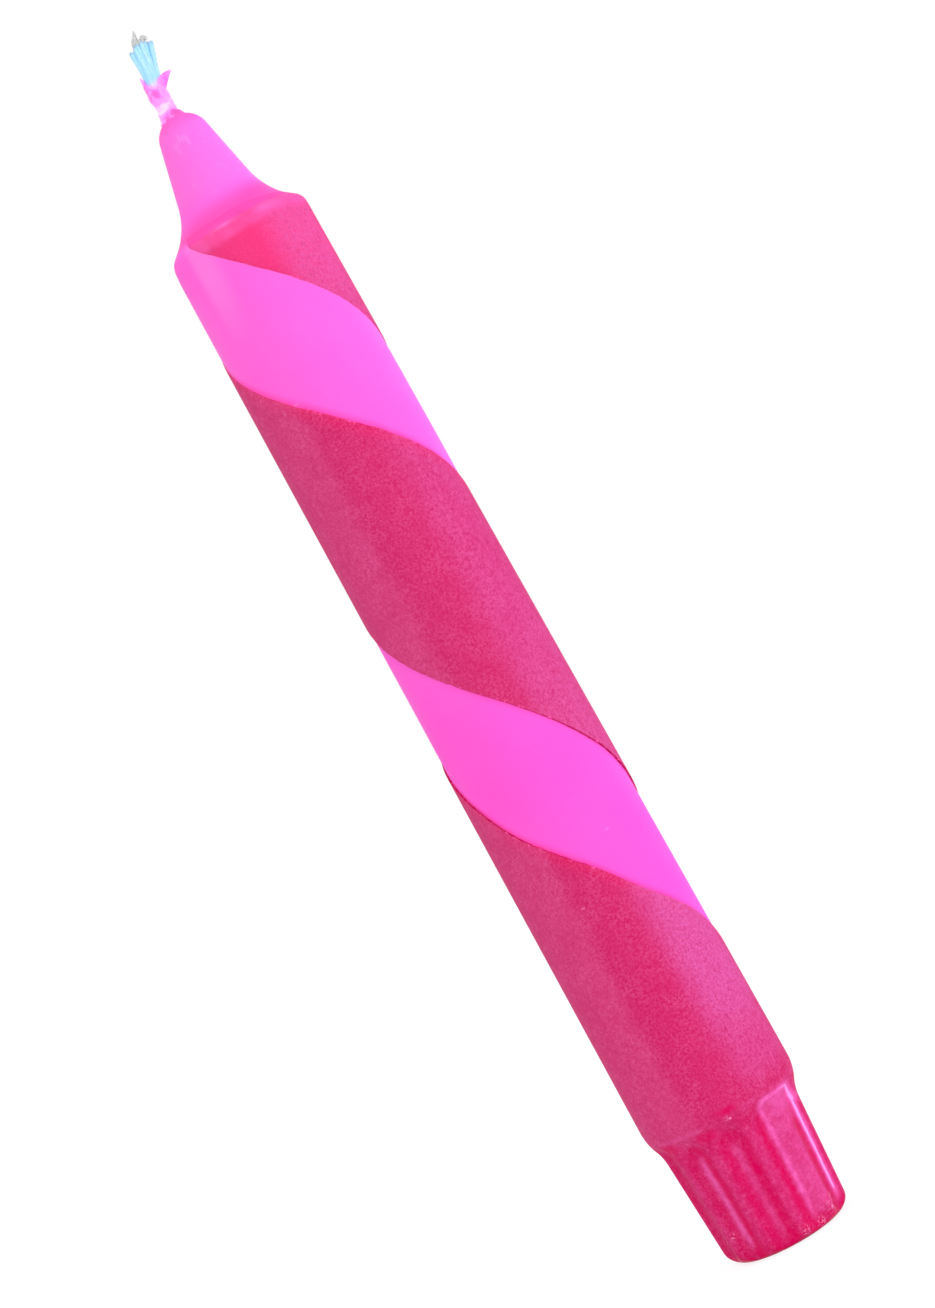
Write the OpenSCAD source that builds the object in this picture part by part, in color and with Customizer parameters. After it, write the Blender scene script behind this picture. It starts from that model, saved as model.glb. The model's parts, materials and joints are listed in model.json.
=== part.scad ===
// Dip-dyed dinner candle with a bare spiral stripe.
// The candle stands on Z, its foot on the plane Z = 0, and its front looks along -Y.
// A tapered wax body carries a thin dyed skin. A strip of tape, wound round the body
// before the dip, kept one spiral stripe bare. A plaited cotton wick runs through the
// middle, and the stub above the wax bends where it leaves the dome.

/* [Foot] */
// Height of the fluted foot, up to the start of the ogee
foot_h = 17.4; // [12:0.1:24]
// Diameter of the bare foot at its bottom plane
foot_bottom_d = 19.1; // [16:0.1:20]
// Diameter of the bare foot at the start of the ogee
foot_top_d = 21.1; // [20.2:0.1:22]
// Rounding of the bottom edge
foot_edge_round = 2.2; // [0.6:0.1:3]
// Number of flutes round the foot
flute_count = 11; // [8:1:13]
// Depth of a flute below the ribs
flute_depth = 0.85; // [0.4:0.05:1.2]
// Radius of a flute's hollow
flute_round = 4.4; // [3.6:0.1:6]
// Turn of the first flute from the front, in degrees
flute_turn = -6; // [-16:1:16]

/* [Body] */
// Radius of both curves of the ogee between foot and body
ogee_round = 8; // [4:0.1:12]
// Height from the start of the ogee to the start of the shoulder
body_h = 148.2; // [90:0.1:260]
// Diameter of the bare body, carried down to the start of the ogee
body_bottom_d = 23.8; // [22.6:0.1:27]
// Diameter of the bare body at the shoulder
body_top_d = 21.6; // [18:0.1:23.8]

/* [Neck] */
// Height from the start of the shoulder to the top of the dome
neck_h = 20.4; // [17:0.1:32]
// Rounding of the shoulder's outer corner
shoulder_round = 2.2; // [0.8:0.1:3]
// Slope of the shoulder, in degrees from upright
shoulder_slope = 46.7; // [40:0.1:60]
// Radius of the hollow between shoulder and neck
neck_fillet = 11.6; // [6:0.1:14]
// Diameter of the neck's cone, carried up to the top of the dome
neck_top_d = 6.4; // [6.2:0.1:7.5]
// Slope of the neck's side, in degrees from upright
neck_slope = 12.4; // [8:0.1:14]
// Rounding of the dome
dome_round = 3.7; // [2.5:0.1:3.8]

/* [Dip coat] */
// Thickness of the dyed skin
coat_t = 0.3; // [0.15:0.05:0.8]
// Gap left between the skin and the wax that it sits on
bond_gap = 0.02; // [0.01:0.01:0.05]
// Height of the skin's upper edge above the start of the shoulder
dip_rise = 3; // [1:0.1:4]

/* [Bare stripe] */
// Width of the tape that kept the stripe bare
tape_w = 18; // [6:0.5:24]
// Depth of the stripe's middle below the shoulder, at the front
stripe_drop = 18.7; // [12:0.1:30]
// Climb of the stripe in one turn, at the front near the top
stripe_lead = 65.4; // [50:0.1:90]
// Growth of that climb with each turn downwards
stripe_lead_growth = 12.2; // [0:0.1:16]
// Turns from the front near the top to the tape's lower end
stripe_turns = 1.38; // [0.4:0.02:1.4]

/* [Wick] */
// Radius of one plaited strand
strand_r = 0.35; // [0.2:0.01:0.42]
// Half width of the plait, to the strands' middle lines
plait_half_w = 0.9; // [0.85:0.01:1.2]
// Half depth of the plait, to the strands' middle lines
plait_half_t = 0.54; // [0.5:0.01:0.7]
// Length of one repeat of the plait
plait_pitch = 20; // [14:0.5:40]
// Clearance of the plait in the wax
wick_gap = 0.1; // [0.05:0.01:0.3]
// Offset of the stub from the candle's axis, along X
stub_offset = -0.3; // [-0.5:0.05:0.5]
// Spacing of the stub's yarns
yarn_pitch = 0.62; // [0.58:0.01:0.8]
// Radius of one yarn
yarn_r = 0.27; // [0.15:0.01:0.28]
// Height of the tallest yarns above the bend
yarn_h = 10.7; // [9:0.1:16]
// Spread of the outer yarns at their tips
yarn_spread = 1.65; // [0.8:0.05:2.2]
// Lean of the yarn tips to the right
yarn_lean = 1.1; // [0:0.05:1.5]
// Height by which the outer yarns stay below the middle ones
yarn_step = 0.5; // [0:0.1:1.5]
// Thickness of the wax film on the stub
film_t = 0.3; // [0.2:0.01:0.6]
// Height of the film's lowest edge above the bend
film_h = 4.4; // [2.5:0.1:6]
// Rise of the film's torn rim, from its lowest to its highest point
film_rise = 1.8; // [0.4:0.1:2.4]
// Turn of the rim's highest point from the right, in degrees
film_tear_turn = 150; // [0:5:360]
// Length of the torn flake of film
flake_l = 1.7; // [0.6:0.1:2.2]
// Clearance of the stub's round root in its hollow
root_gap = 0.15; // [0.1:0.01:0.3]
// Length of the longest frayed fibre above the yarns
fray_h = 2.2; // [1:0.1:4]
// Length by which each fibre further back is shorter
fray_step = 0.55; // [0.1:0.05:0.9]
// Lean of the outer fibres, in degrees
fray_lean = 12; // [0:1:30]

/* [Hidden] */
$fn = 96;

neon = "#ff6be0";
raspberry = "#de3474";
cotton = "#f3dcea";
film_pink = "#ff96f2";
yarn_blue = "#aee4ff";
fibre_grey = "#d6d2d6";

// Heights that the pieces share
wax_z = coat_t + bond_gap;
shoulder_z = foot_h + body_h;
top_z = shoulder_z + neck_h;
dip_z = shoulder_z + dip_rise;

// Radii and slopes of the turned profile
foot_bottom_r = foot_bottom_d / 2;
foot_top_r = foot_top_d / 2;
body_bottom_r = body_bottom_d / 2;
body_top_r = body_top_d / 2;
neck_top_r = neck_top_d / 2;
foot_draft = atan((foot_top_r - foot_bottom_r) / (foot_h - wax_z));
body_draft = atan((body_bottom_r - body_top_r) / body_h);
arc_steps = 10;

// Unit direction at an angle above level, in the plane of the profile
function dir(a) = [cos(a), sin(a)];

// Points of one arc of the profile, grown outwards by g. A hollow has a negative radius.
function bend(centre, radius, from, to, g) =
    [for (i = [0 : arc_steps]) centre + (radius + g) * dir(from + (to - from) * i / arc_steps)];

// Middle of the bottom edge's rounding, which touches the bottom plane and the foot's side
edge_c = [
    foot_bottom_r - foot_edge_round * (1 - sin(foot_draft)) / cos(foot_draft),
    wax_z + foot_edge_round
];

// The ogee starts on the foot's side and ends on the body's side
ogee_low_c = [foot_top_r, foot_h] + ogee_round * dir(-foot_draft);
ogee_turn = acos(((foot_top_r - body_bottom_r) * cos(body_draft)
    + ogee_round * (cos(foot_draft + body_draft) + 1)) / (2 * ogee_round)) - body_draft;
ogee_high_c = ogee_low_c - 2 * ogee_round * dir(-ogee_turn);

// The shoulder's corner, then the hollow that touches both the shoulder and the neck's side
shoulder_c = [body_top_r, shoulder_z] - shoulder_round * dir(body_draft);
on_shoulder = (shoulder_c + shoulder_round * dir(shoulder_slope)) * dir(shoulder_slope) + neck_fillet;
on_neck = [neck_top_r, top_z] * dir(neck_slope) + neck_fillet;
fillet_c = [
    on_shoulder * sin(neck_slope) - on_neck * sin(shoulder_slope),
    on_neck * cos(shoulder_slope) - on_shoulder * cos(neck_slope)
] / sin(neck_slope - shoulder_slope);

// Middle of the dome's rounding, which touches the neck's side and the top plane
dome_c = [neck_top_r - dome_round * (1 - sin(neck_slope)) / cos(neck_slope), top_z - dome_round];

// Outline of the candle from the axis at the bottom to the axis at the top, grown by g
function outline(g) = concat(
    [[0, wax_z - g]],
    bend(edge_c, foot_edge_round, -90, -foot_draft, g),
    bend(ogee_low_c, -ogee_round, -foot_draft, -ogee_turn, g),
    bend(ogee_high_c, ogee_round, -ogee_turn, body_draft, g),
    bend(shoulder_c, shoulder_round, body_draft, shoulder_slope, g),
    bend(fillet_c, -neck_fillet, shoulder_slope, neck_slope, g),
    bend(dome_c, dome_round, neck_slope, 90, g),
    [[0, top_z + g]]
);

// The bare stripe, in turns t from the front near the top
front_angle = -90;
stripe_step = 7.5 / 360;
stripe_r = (body_bottom_r + body_top_r) / 2;
stripe_lead_in = (stripe_drop + dip_rise + tape_w) / stripe_lead;
stripe_steps = ceil((stripe_turns + stripe_lead_in) / stripe_step);
cutter_inner_r = neck_top_r;
cutter_outer_r = body_bottom_d / 2 + body_top_d / 2;
function stripe_z(t) = shoulder_z - stripe_drop - stripe_lead * t - stripe_lead_growth * t * t / 2;
function stripe_fall(t) = atan((stripe_lead + stripe_lead_growth * t) / (2 * PI * stripe_r));

// A point of the tape, off its middle line by a share of its half width, at radius r
function tape_point(t, off, r) =
    let (reach = off * tape_w / 2, fall = stripe_fall(t))
    let (a = front_angle + 360 * t + reach * sin(fall) / stripe_r * 180 / PI)
    [r * cos(a), r * sin(a), stripe_z(t) + reach * cos(fall)];

// The stub of wick above the wax, about the point where it bends
stub_bore_r = yarn_pitch * sqrt(2) + yarn_r + wick_gap;
stub_r = stub_bore_r + film_t;
root_r = stub_r + root_gap;
root_angle = 44;
bend_z = top_z + root_r * cos(root_angle);
bend_at = [stub_offset, 0, bend_z];
film_floor = stub_bore_r / 2;
plait_bore_r = plait_half_w + strand_r + wick_gap;
plait_from = wax_z + wick_gap;
plait_to = bend_z - root_r - wick_gap;
plait_rings_per_pitch = 8;
plait_rings = ceil((plait_to - plait_from) / plait_pitch * plait_rings_per_pitch);
rod_sides = 6;
yarn_rings = 14;
yarn_curl = 2;
yarn_row_spread = 0.5;
fray_r = 0.16;
fray_tip_r = 0.04;

// Closed skin over a list of rings, each counter-clockwise seen from the end of the list
module loft(rings) {
    n = len(rings[0]);
    last = (len(rings) - 1) * n;
    polyhedron(
        points = [for (ring = rings) each ring],
        faces = concat(
            [for (j = [1 : n - 2]) [0, j, j + 1]],
            [for (i = [0 : len(rings) - 2], j = [0 : n - 1])
                let (a = i * n + j, b = i * n + (j + 1) % n)
                each [[a, a + n, b + n], [a, b + n, b]]],
            [for (j = [1 : n - 2]) [last, last + j + 1, last + j]]
        )
    );
}

// Level ring of a rod round a point
function rod_ring(p, r) =
    [for (j = [0 : rod_sides - 1]) p + [r * cos(360 * j / rod_sides), r * sin(360 * j / rod_sides), 0]];

// The candle's outer form with its flutes, grown by g
module candle_form(g) {
    difference() {
        rotate_extrude() polygon(outline(g));
        for (i = [0 : flute_count - 1])
            rotate(front_angle + flute_turn + 360 * i / flute_count)
                translate([foot_top_r, 0, foot_h])
                    rotate([0, foot_draft, 0])
                        translate([flute_round - flute_depth, 0, 0]) {
                            sphere(r = flute_round - g);
                            translate([0, 0, -2 * foot_h]) cylinder(r = flute_round - g, h = 2 * foot_h);
                        }
    }
}

// Neon wax: foot, body, shoulder and neck in one casting, with the channel of the wick
module wax_body() {
    color(neon) difference() {
        candle_form(0);
        translate([0, 0, wax_z - 1]) cylinder(r = plait_bore_r, h = plait_to - wax_z + 1 + wick_gap);
        translate(bend_at) sphere(r = root_r);
    }
}

// The stripe that the tape kept clear of the dip, with square-cut ends
module tape_cutter() {
    loft([for (i = [0 : stripe_steps])
        let (t = stripe_turns - (stripe_steps - i) * stripe_step)
        [tape_point(t, -1, cutter_inner_r), tape_point(t, 1, cutter_inner_r),
            tape_point(t, 1, cutter_outer_r), tape_point(t, -1, cutter_outer_r)]]);
}

// Raspberry skin over foot, body and shoulder, open along the stripe
module dip_coat() {
    color(raspberry) difference() {
        candle_form(bond_gap + coat_t);
        candle_form(bond_gap);
        translate([0, 0, dip_z]) cylinder(r = body_bottom_d, h = top_z);
        tape_cutter();
    }
}

// One strand of the plait: it swings across the wick once, and in depth twice, in each repeat
module plait_strand(k) {
    color(cotton) loft([for (i = [0 : plait_rings])
        let (z = plait_from + (plait_to - plait_from) * i / plait_rings)
        let (a = 360 * (z / plait_pitch + k / 3))
        rod_ring([plait_half_w * sin(a), plait_half_t * sin(2 * a), z], strand_r)]);
}

module plait_strand_1() { plait_strand(0); }
module plait_strand_2() { plait_strand(1); }
module plait_strand_3() { plait_strand(2); }

// Film of wax round the stub: a cup with a round root, a torn rim and one loose flake
module wick_film() {
    flake_z = film_h + film_t;
    color(film_pink) translate(bend_at) {
        difference() {
            union() {
                sphere(r = stub_r);
                cylinder(r = stub_r, h = film_h + film_rise);
            }
            translate([0, 0, -film_floor]) cylinder(r = stub_bore_r, h = 2 * yarn_h);
            rotate(film_tear_turn) translate([-stub_r, 0, film_h])
                rotate([0, -atan(film_rise / (2 * stub_r)), 0])
                    translate([-stub_r, -2 * stub_r, 0]) cube([6 * stub_r, 4 * stub_r, 2 * yarn_h]);
        }
        translate([0, film_t, 0]) rotate([90, 0, 0])
            linear_extrude(2 * film_t)
                polygon([[stub_bore_r + film_t / 2, flake_z - flake_l], [stub_r + flake_l, flake_z],
                    [stub_r, flake_z + film_t]]);
    }
}

// Middle line of a yarn in column cx and row cy, each -1, 0 or 1, at share s of its length.
// It stands straight in the film and bends away above it.
function yarn_point(cx, cy, s) =
    let (height = yarn_h - yarn_step * abs(cx))
    let (z = -film_floor + wick_gap + s * (height + film_floor - wick_gap))
    let (free = pow(max(0, z - film_h) / (height - film_h), yarn_curl))
    [cx * (yarn_pitch + (yarn_spread - yarn_pitch) * free) + yarn_lean * free,
        cy * yarn_pitch * (1 + yarn_row_spread * free), z];

// Three yarns of one opened strand, one behind the other
module yarn_column(cx) {
    color(yarn_blue) translate(bend_at)
        for (cy = [-1 : 1])
            loft([for (i = [0 : yarn_rings])
                rod_ring(yarn_point(cx, cy, i / yarn_rings), yarn_r)]);
}

module yarns_left() { yarn_column(-1); }
module yarns_middle() { yarn_column(0); }
module yarns_right() { yarn_column(1); }

// Loose fibres that stand on the middle yarns, the longest one at the front
module frayed_fibres() {
    color(fibre_grey) translate(bend_at)
        for (cy = [-1 : 1])
            translate(yarn_point(0, cy, 1) + [0, 0, wick_gap])
                rotate([0, fray_lean * cy, 0])
                    cylinder(r1 = fray_r, r2 = fray_tip_r, h = fray_h - fray_step * (cy + 1), $fn = 24);
}

wax_body();
dip_coat();
plait_strand_1();
plait_strand_2();
plait_strand_3();
wick_film();
yarns_left();
yarns_middle();
yarns_right();
frayed_fibres();
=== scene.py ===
"""Looks of a dip-dyed dinner candle with a bare spiral stripe.

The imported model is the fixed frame. Lengths are in metres, apart from the tables and values whose comment
says millimetres. Z runs up the candle's axis from the surface that it stands on, -Y points out of the
front, and a turn is an angle from the front towards the right, which runs on past a full circle where the
stripe winds.
"""

import json
import math

import bmesh
import bpy
import numpy as np
from bpy.props import FloatProperty, FloatVectorProperty, IntProperty, PointerProperty
from mathutils import Matrix, Vector


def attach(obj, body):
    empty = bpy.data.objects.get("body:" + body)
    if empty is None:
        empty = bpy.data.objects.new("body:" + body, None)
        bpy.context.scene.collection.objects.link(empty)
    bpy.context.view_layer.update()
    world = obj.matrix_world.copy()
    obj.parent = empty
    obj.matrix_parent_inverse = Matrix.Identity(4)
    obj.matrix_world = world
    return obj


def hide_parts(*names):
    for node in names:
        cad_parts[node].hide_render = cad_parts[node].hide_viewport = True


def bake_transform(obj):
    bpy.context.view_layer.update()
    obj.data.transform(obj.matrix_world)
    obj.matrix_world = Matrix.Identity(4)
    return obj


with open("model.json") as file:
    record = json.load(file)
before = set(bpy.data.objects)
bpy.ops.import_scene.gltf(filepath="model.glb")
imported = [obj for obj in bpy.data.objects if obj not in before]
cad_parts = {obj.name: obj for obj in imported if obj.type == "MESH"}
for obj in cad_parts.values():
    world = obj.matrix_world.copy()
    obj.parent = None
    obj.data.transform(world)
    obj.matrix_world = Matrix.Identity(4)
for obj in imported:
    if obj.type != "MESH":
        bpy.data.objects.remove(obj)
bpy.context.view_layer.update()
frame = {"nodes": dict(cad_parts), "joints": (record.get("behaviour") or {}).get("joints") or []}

bl_info = {
    "name": "Dip-dyed dinner candle",
    "version": (1, 0, 0),
    "blender": (4, 5, 0),
    "location": "3D View > Sidebar > Candle",
    "description": "Builds the wax body, dyed skin and wick of a dinner candle, and its studio",
    "category": "Add Mesh",
}

PIVOT = Vector(frame["joints"][0]["pos_m"])
MM = 0.001
CIRCLE = 2 * math.pi
# A radius or height that no piece reaches
OUT_OF_REACH = 1.0


def srgb(red, green, blue):
    """Linear colour of an 8-bit display colour."""
    level = np.array([red, green, blue]) / 255
    linear = np.where(level <= 0.04045, level / 12.92, ((level + 0.055) / 1.055) ** 2.4)
    return tuple(float(x) for x in linear)


def length(name, text, millimetres):
    """A length as a property, written in millimetres and kept in metres."""
    return FloatProperty(name=name, description=text, default=millimetres * MM, unit="LENGTH", precision=5)


def angle(name, text, degrees):
    """An angle as a property, written in degrees and kept in radians."""
    return FloatProperty(name=name, description=text, default=math.radians(degrees), subtype="ANGLE")


def colour(name, text, *levels):
    """A colour as a property, written in 8-bit display levels and kept linear."""
    return FloatVectorProperty(name=name, description=text, default=srgb(*levels), subtype="COLOR",
                               min=0, max=1)


def power(name, text, watts):
    """A lamp's power as a property, in watts."""
    return FloatProperty(name=name, description=text, default=watts, subtype="POWER")


class CandleForm(bpy.types.PropertyGroup):
    """Driving sizes of the turned wax body and its flutes."""

    foot_h: length("Foot height", "Height of the fluted foot, up to the start of the ogee", 17.4)
    foot_bottom_d: length("Foot bottom", "Diameter of the bare foot at its bottom plane", 19.1)
    foot_top_d: length("Foot top", "Diameter of the bare foot at the start of the ogee", 21.1)
    foot_edge_round: length("Foot edge", "Rounding of the bottom edge", 2.2)
    flute_count: IntProperty(name="Flutes", default=11, min=3, description="Number of flutes round the foot")
    flute_depth: length("Flute depth", "Depth of a flute below the ribs", 0.85)
    flute_round: length("Flute radius", "Radius of a flute's hollow", 4.4)
    flute_turn: angle("Flute turn", "Turn of the first flute from the front", -6)
    rib_round: length("Rib softness", "Width over which a rib's crest is rounded", 0.5)
    ogee_round: length("Ogee radius", "Radius of both curves between foot and body", 8)
    body_h: length("Body height", "Height from the start of the ogee to the start of the shoulder", 148.2)
    body_bottom_d: length("Body bottom", "Diameter of the body, carried down to the ogee's start", 23.8)
    body_top_d: length("Body top", "Diameter of the bare body at the shoulder", 21.6)
    neck_h: length("Neck height", "Height from the start of the shoulder to the top of the dome", 20.4)
    shoulder_round: length("Shoulder radius", "Rounding of the shoulder's outer corner", 2.2)
    shoulder_slope: angle("Shoulder slope", "Slope of the shoulder from upright", 46.7)
    neck_fillet: length("Neck hollow", "Radius of the hollow between shoulder and neck", 11.6)
    neck_top_d: length("Neck top", "Diameter of the neck's cone, carried up to the top of the dome", 6.4)
    neck_slope: angle("Neck slope", "Slope of the neck's side from upright", 12.4)
    dome_round: length("Dome radius", "Rounding of the dome", 3.7)
    wick_bore_d: length("Wick channel", "Diameter of the channel that the plait runs in", 2.7)


class DipSizes(bpy.types.PropertyGroup):
    """Sizes of the dyed skin and of the tape that kept the stripe bare."""

    thickness: length("Skin", "Thickness of the dyed skin", 0.3)
    bond_gap: length("Bond gap", "Gap between the skin and the wax that it sits on", 0.02)
    sunk: length("Sunk", "Depth by which the thin skin lies in the wax towards the shoulder", 0.16)
    dip_rise: length("Dip rise", "Height of the skin's upper edge above the start of the shoulder", 3)
    feather: length("Feather", "Height over which the skin thins out at its upper edge", 2.2)
    wash_rise: length("Wash rise", "Height of the thin wash of dye above the skin's upper edge", 4.2)
    tape_w: length("Tape", "Width of the tape that kept the stripe bare", 18)
    stripe_drop: length("Stripe drop", "Depth of the stripe's middle below the shoulder at the front", 18.7)
    stripe_lead: length("Stripe lead", "Climb of the stripe in one turn, at the front near the top", 65.4)
    lead_growth: length("Lead growth", "Growth of that climb with each turn downwards", 12.2)
    stripe_turns: FloatProperty(name="Stripe turns", default=1.38, min=0.4,
                                description="Turns from the front near the top to the tape's lower end")
    edge_round: length("Edge rounding", "Width over which the skin's cut edge rolls down", 0.07)
    edge_bead: length("Edge bead", "Height of the bead that stands along the cut edge", 0.03)


class WickSizes(bpy.types.PropertyGroup):
    """Sizes of the waxed stub of wick."""

    film_wall: length("Film wall", "Thickness of the film of wax on the stub", 0.28)
    film_floor: length("Film floor", "Height of the film's inner floor above the bend", 0.3)
    yarn_d: length("Yarn", "Diameter of one yarn", 0.66)
    fibre_d: length("Fibre", "Diameter of one loose fibre at its root", 0.24)
    bend_h: length("Bend height", "Height over which the stub bends", 4.0)


class CandleColours(bpy.types.PropertyGroup):
    """Colours of the finishes."""

    neon: colour("Neon wax", "Pink of the bare wax", 255, 104, 210)
    neon_deep: colour("Neon wax, deep", "Warmer pink of the wax in its duller patches", 255, 88, 203)
    # The pale colour of the scuffs also paints a highlight on a band of the stripe near the shoulder
    neon_pale: colour("Neon wax, pale", "Scuffed wax on the neck, and a painted highlight on the stripe near the shoulder", 255, 140, 220)
    wash: colour("Wash", "Wax with a thin wash of dye above the dip line", 255, 78, 172)
    bleed: colour("Bleed", "Wax beside the stripe's lower edge, where dye crept in", 255, 72, 172)
    raspberry: colour("Raspberry", "Dyed skin on the body", 208, 43, 102)
    raspberry_foot: colour("Raspberry foot", "Skin of the foot", 211, 19, 93)
    # Pale grain, which also paints a sheen on the body's sides
    raspberry_pale: colour("Raspberry, grain and sheen", "Rubbed grain of the dyed skin, laid more on its sides as painted sheen", 231, 100, 160)
    # Painted sheen on the right of the body
    raspberry_veil: colour("Raspberry, sheen", "Dyed skin under a painted pale sheen on the right", 224, 99, 171)
    raspberry_thin: colour("Raspberry, thin", "Dyed skin near the shoulder, where it is thin", 241, 58, 124)
    raspberry_fresh: colour("Raspberry, fresh", "Less rubbed skin under the stripe's edge", 226, 32, 96)
    # Dark grain, and painted shade on the skin's cut edges
    raspberry_edge: colour("Raspberry, dark and edge shade", "Dark grain of the dyed skin, and painted shade on its cut edge", 186, 2, 80)
    # Dye in pools, darkened with painted shade in the flutes, their arched tops, round the bottom and in
    # notches on the shoulder
    raspberry_pool: colour("Raspberry, pool and shade", "Dye in pools, and painted shade, in the flutes", 220, 3, 89)
    # Pale nicks, and the painted highlight on the shoulder's corner
    raspberry_worn: colour("Raspberry, nicks and highlight", "Skin in nicks, and a painted highlight on the shoulder's corner", 253, 92, 170)
    # Painted highlights along the flutes, on the ribs and the ogee, and in dashes on the shoulder
    gleam: colour("Gleam", "Painted highlight along a flute's middle", 254, 116, 202)
    # Brightest line of the painted highlights
    gleam_bright: colour("Gleam, bright", "Brightest line of a polished streak", 255, 178, 250)
    crumb: colour("Crumb", "Specks of wax on the skin", 255, 170, 215)
    film: colour("Film", "Wax film on the wick", 255, 158, 250)
    film_deep: colour("Film, deep", "Thick blotches of the film", 254, 104, 208)
    film_pale: colour("Film, pale", "Pale lumps of the film", 255, 212, 255)
    yarn: colour("Yarn", "Opened cotton yarn", 166, 220, 246)
    yarn_pale: colour("Yarn, pale", "Light fibres of the yarn", 196, 236, 252)
    # Painted grey shade at the yarn's cut ends
    yarn_tip: colour("Yarn, tip shade", "Painted grey shade at the yarn's cut ends", 128, 150, 170)
    yarn_shade: colour("Yarn, shade", "Gaps between the yarn's fibres", 146, 198, 234)
    fibre: colour("Fibre", "Loose fibres at the tip", 198, 200, 194)
    fibre_pale: colour("Fibre, pale", "Light streaks of the loose fibres", 236, 234, 238)
    fibre_shade: colour("Fibre, shade", "Dark streaks of the loose fibres", 150, 153, 148)
    plait: colour("Plait", "Waxed cotton inside the candle", 243, 220, 234)
    plait_pale: colour("Plait, pale", "Light fibres of the plait", 255, 240, 250)
    plait_shade: colour("Plait, shade", "Gaps between the plait's fibres", 214, 178, 204)


class StudioSettings(bpy.types.PropertyGroup):
    """Camera, floor and light."""

    camera_distance: length("Camera distance", "Distance of the camera from the candle's axis", 437.3)
    camera_height: length("Camera height", "Height of the camera above the floor", 91.75)
    camera_side: length("Camera side step", "Offset of the camera to the right", -0.4)
    camera_pitch: angle("Camera pitch", "Tilt of the camera above level", 0.63)
    camera_roll: angle("Camera roll", "Clockwise roll of the camera", 28.95)
    lens: FloatProperty(name="Lens", description="Focal length in millimetres", default=82.57, min=10)
    floor_size: length("Floor", "Side of the floor", 6000)
    world_level: FloatProperty(name="World light", default=0.62,
                               description="Level of the light from all round")
    window_power: power("Window", "Power of the cool light behind on the right", 0.5)
    side_power: power("Side", "Power of the light at the front right", 0.8)
    front_power: power("Front", "Power of the soft light at the front", 1.6)
    ceiling_power: power("Ceiling", "Power of the light from above", 1.5)
    fill_power: power("Fill", "Power of the light on the left", 0.25)


# Surfaces

# Points closer than this are merged, and edges shorter than the second length dissolve
MERGE_DISTANCE = 0.0005 * MM
SHORTEST_EDGE = 0.0002 * MM
# Random values that the noise along a line runs through before it repeats
WANDER_VALUES = 4096


class Grid:
    """A surface as rows and columns of points, with named values at the points.

    Rows rise and columns run to the right as seen from the side that the faces look to.
    """

    def __init__(self, points, close_rows=False, close_columns=False, flip=False, **values):
        rows, columns = points.shape[:2]
        row = np.arange(rows - 1 + close_rows)[:, None]
        column = np.arange(columns - 1 + close_columns)[None, :]
        low, high = row * columns, (row + 1) % rows * columns
        right = (column + 1) % columns
        corners = [low + column, low + right, high + right, high + column]
        faces = np.stack(np.broadcast_arrays(*corners), axis=-1).reshape(-1, 4)
        self.points = points.reshape(-1, 3)
        self.faces = faces[:, ::-1] if flip else faces
        self.values = {name: np.broadcast_to(v, (rows, columns)).ravel() for name, v in values.items()}


def make_piece(name, grids, material):
    """One mesh from several grids. Points that coincide are merged, which closes seams and poles.

    The value rest keeps each point's place, so that a pattern stays put on a piece that bends.
    """
    starts = np.cumsum([0] + [len(g.points) for g in grids[:-1]])
    points = np.concatenate([g.points for g in grids])
    faces = np.concatenate([g.faces + start for g, start in zip(grids, starts)])
    mesh = bpy.data.meshes.new(name)
    mesh.from_pydata(points.tolist(), [], faces.tolist())
    rest = mesh.attributes.new("rest", "FLOAT_VECTOR", "POINT")
    rest.data.foreach_set("vector", points.ravel().astype(np.float32))
    for key in grids[0].values:
        layer = mesh.attributes.new(key, "FLOAT", "POINT")
        layer.data.foreach_set("value", np.concatenate([g.values[key] for g in grids]).astype(np.float32))
    merge = bmesh.new()
    merge.from_mesh(mesh)
    bmesh.ops.remove_doubles(merge, verts=merge.verts, dist=MERGE_DISTANCE)
    bmesh.ops.dissolve_degenerate(merge, edges=merge.edges, dist=SHORTEST_EDGE)
    merge.to_mesh(mesh)
    merge.free()
    mesh.polygons.foreach_set("use_smooth", np.ones(len(mesh.polygons), dtype=bool))
    mesh.materials.append(material)
    mesh.update()
    piece = bpy.data.objects.new(name, mesh)
    bpy.context.scene.collection.objects.link(piece)
    return piece


def smooth_step(x):
    """0 below 0, 1 above 1 and a smooth S between."""
    x = np.clip(x, 0, 1)
    return x * x * (3 - 2 * x)


def ease(x, start, end):
    """0 at start, 1 at end and a smooth S between, which falls where end lies below start."""
    return smooth_step((x - start) / (end - start))


def hump(x, middle, half, order=2):
    """1 at the middle, falling off to both sides: exp of minus (x - middle) / half to an even order."""
    return np.exp(-((x - middle) / half) ** order)


def soft_min(a, b, width):
    """The smaller of two arrays, rounded off where they differ by less than width."""
    near = np.clip(width - np.abs(a - b), 0, None) / width
    return np.minimum(a, b) - near * near * width / 4


def wander(x, step, seed):
    """Smooth noise from -1 to 1: seeded random values at every step, joined by S curves."""
    values = np.random.default_rng(seed).uniform(-1, 1, WANDER_VALUES)
    cell = np.floor(x / step).astype(int)
    share = smooth_step(x / step - cell)
    return values[cell % WANDER_VALUES] * (1 - share) + values[(cell + 1) % WANDER_VALUES] * share


def lumps(turn, height, size, seed, waves=9):
    """Smooth noise on a tube: cosine waves that run round it and along it with seeded phases, averaged."""
    rng = np.random.default_rng(seed)
    round_it = rng.integers(0, 6, waves)
    along_it = rng.uniform(0.5, 1.6, waves) * CIRCLE / size
    phase = rng.uniform(0, CIRCLE, waves)
    waves_at = round_it * turn[..., None] + along_it * height[..., None] + phase
    return np.cos(waves_at).mean(axis=-1) * math.sqrt(waves) / 2


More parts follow.
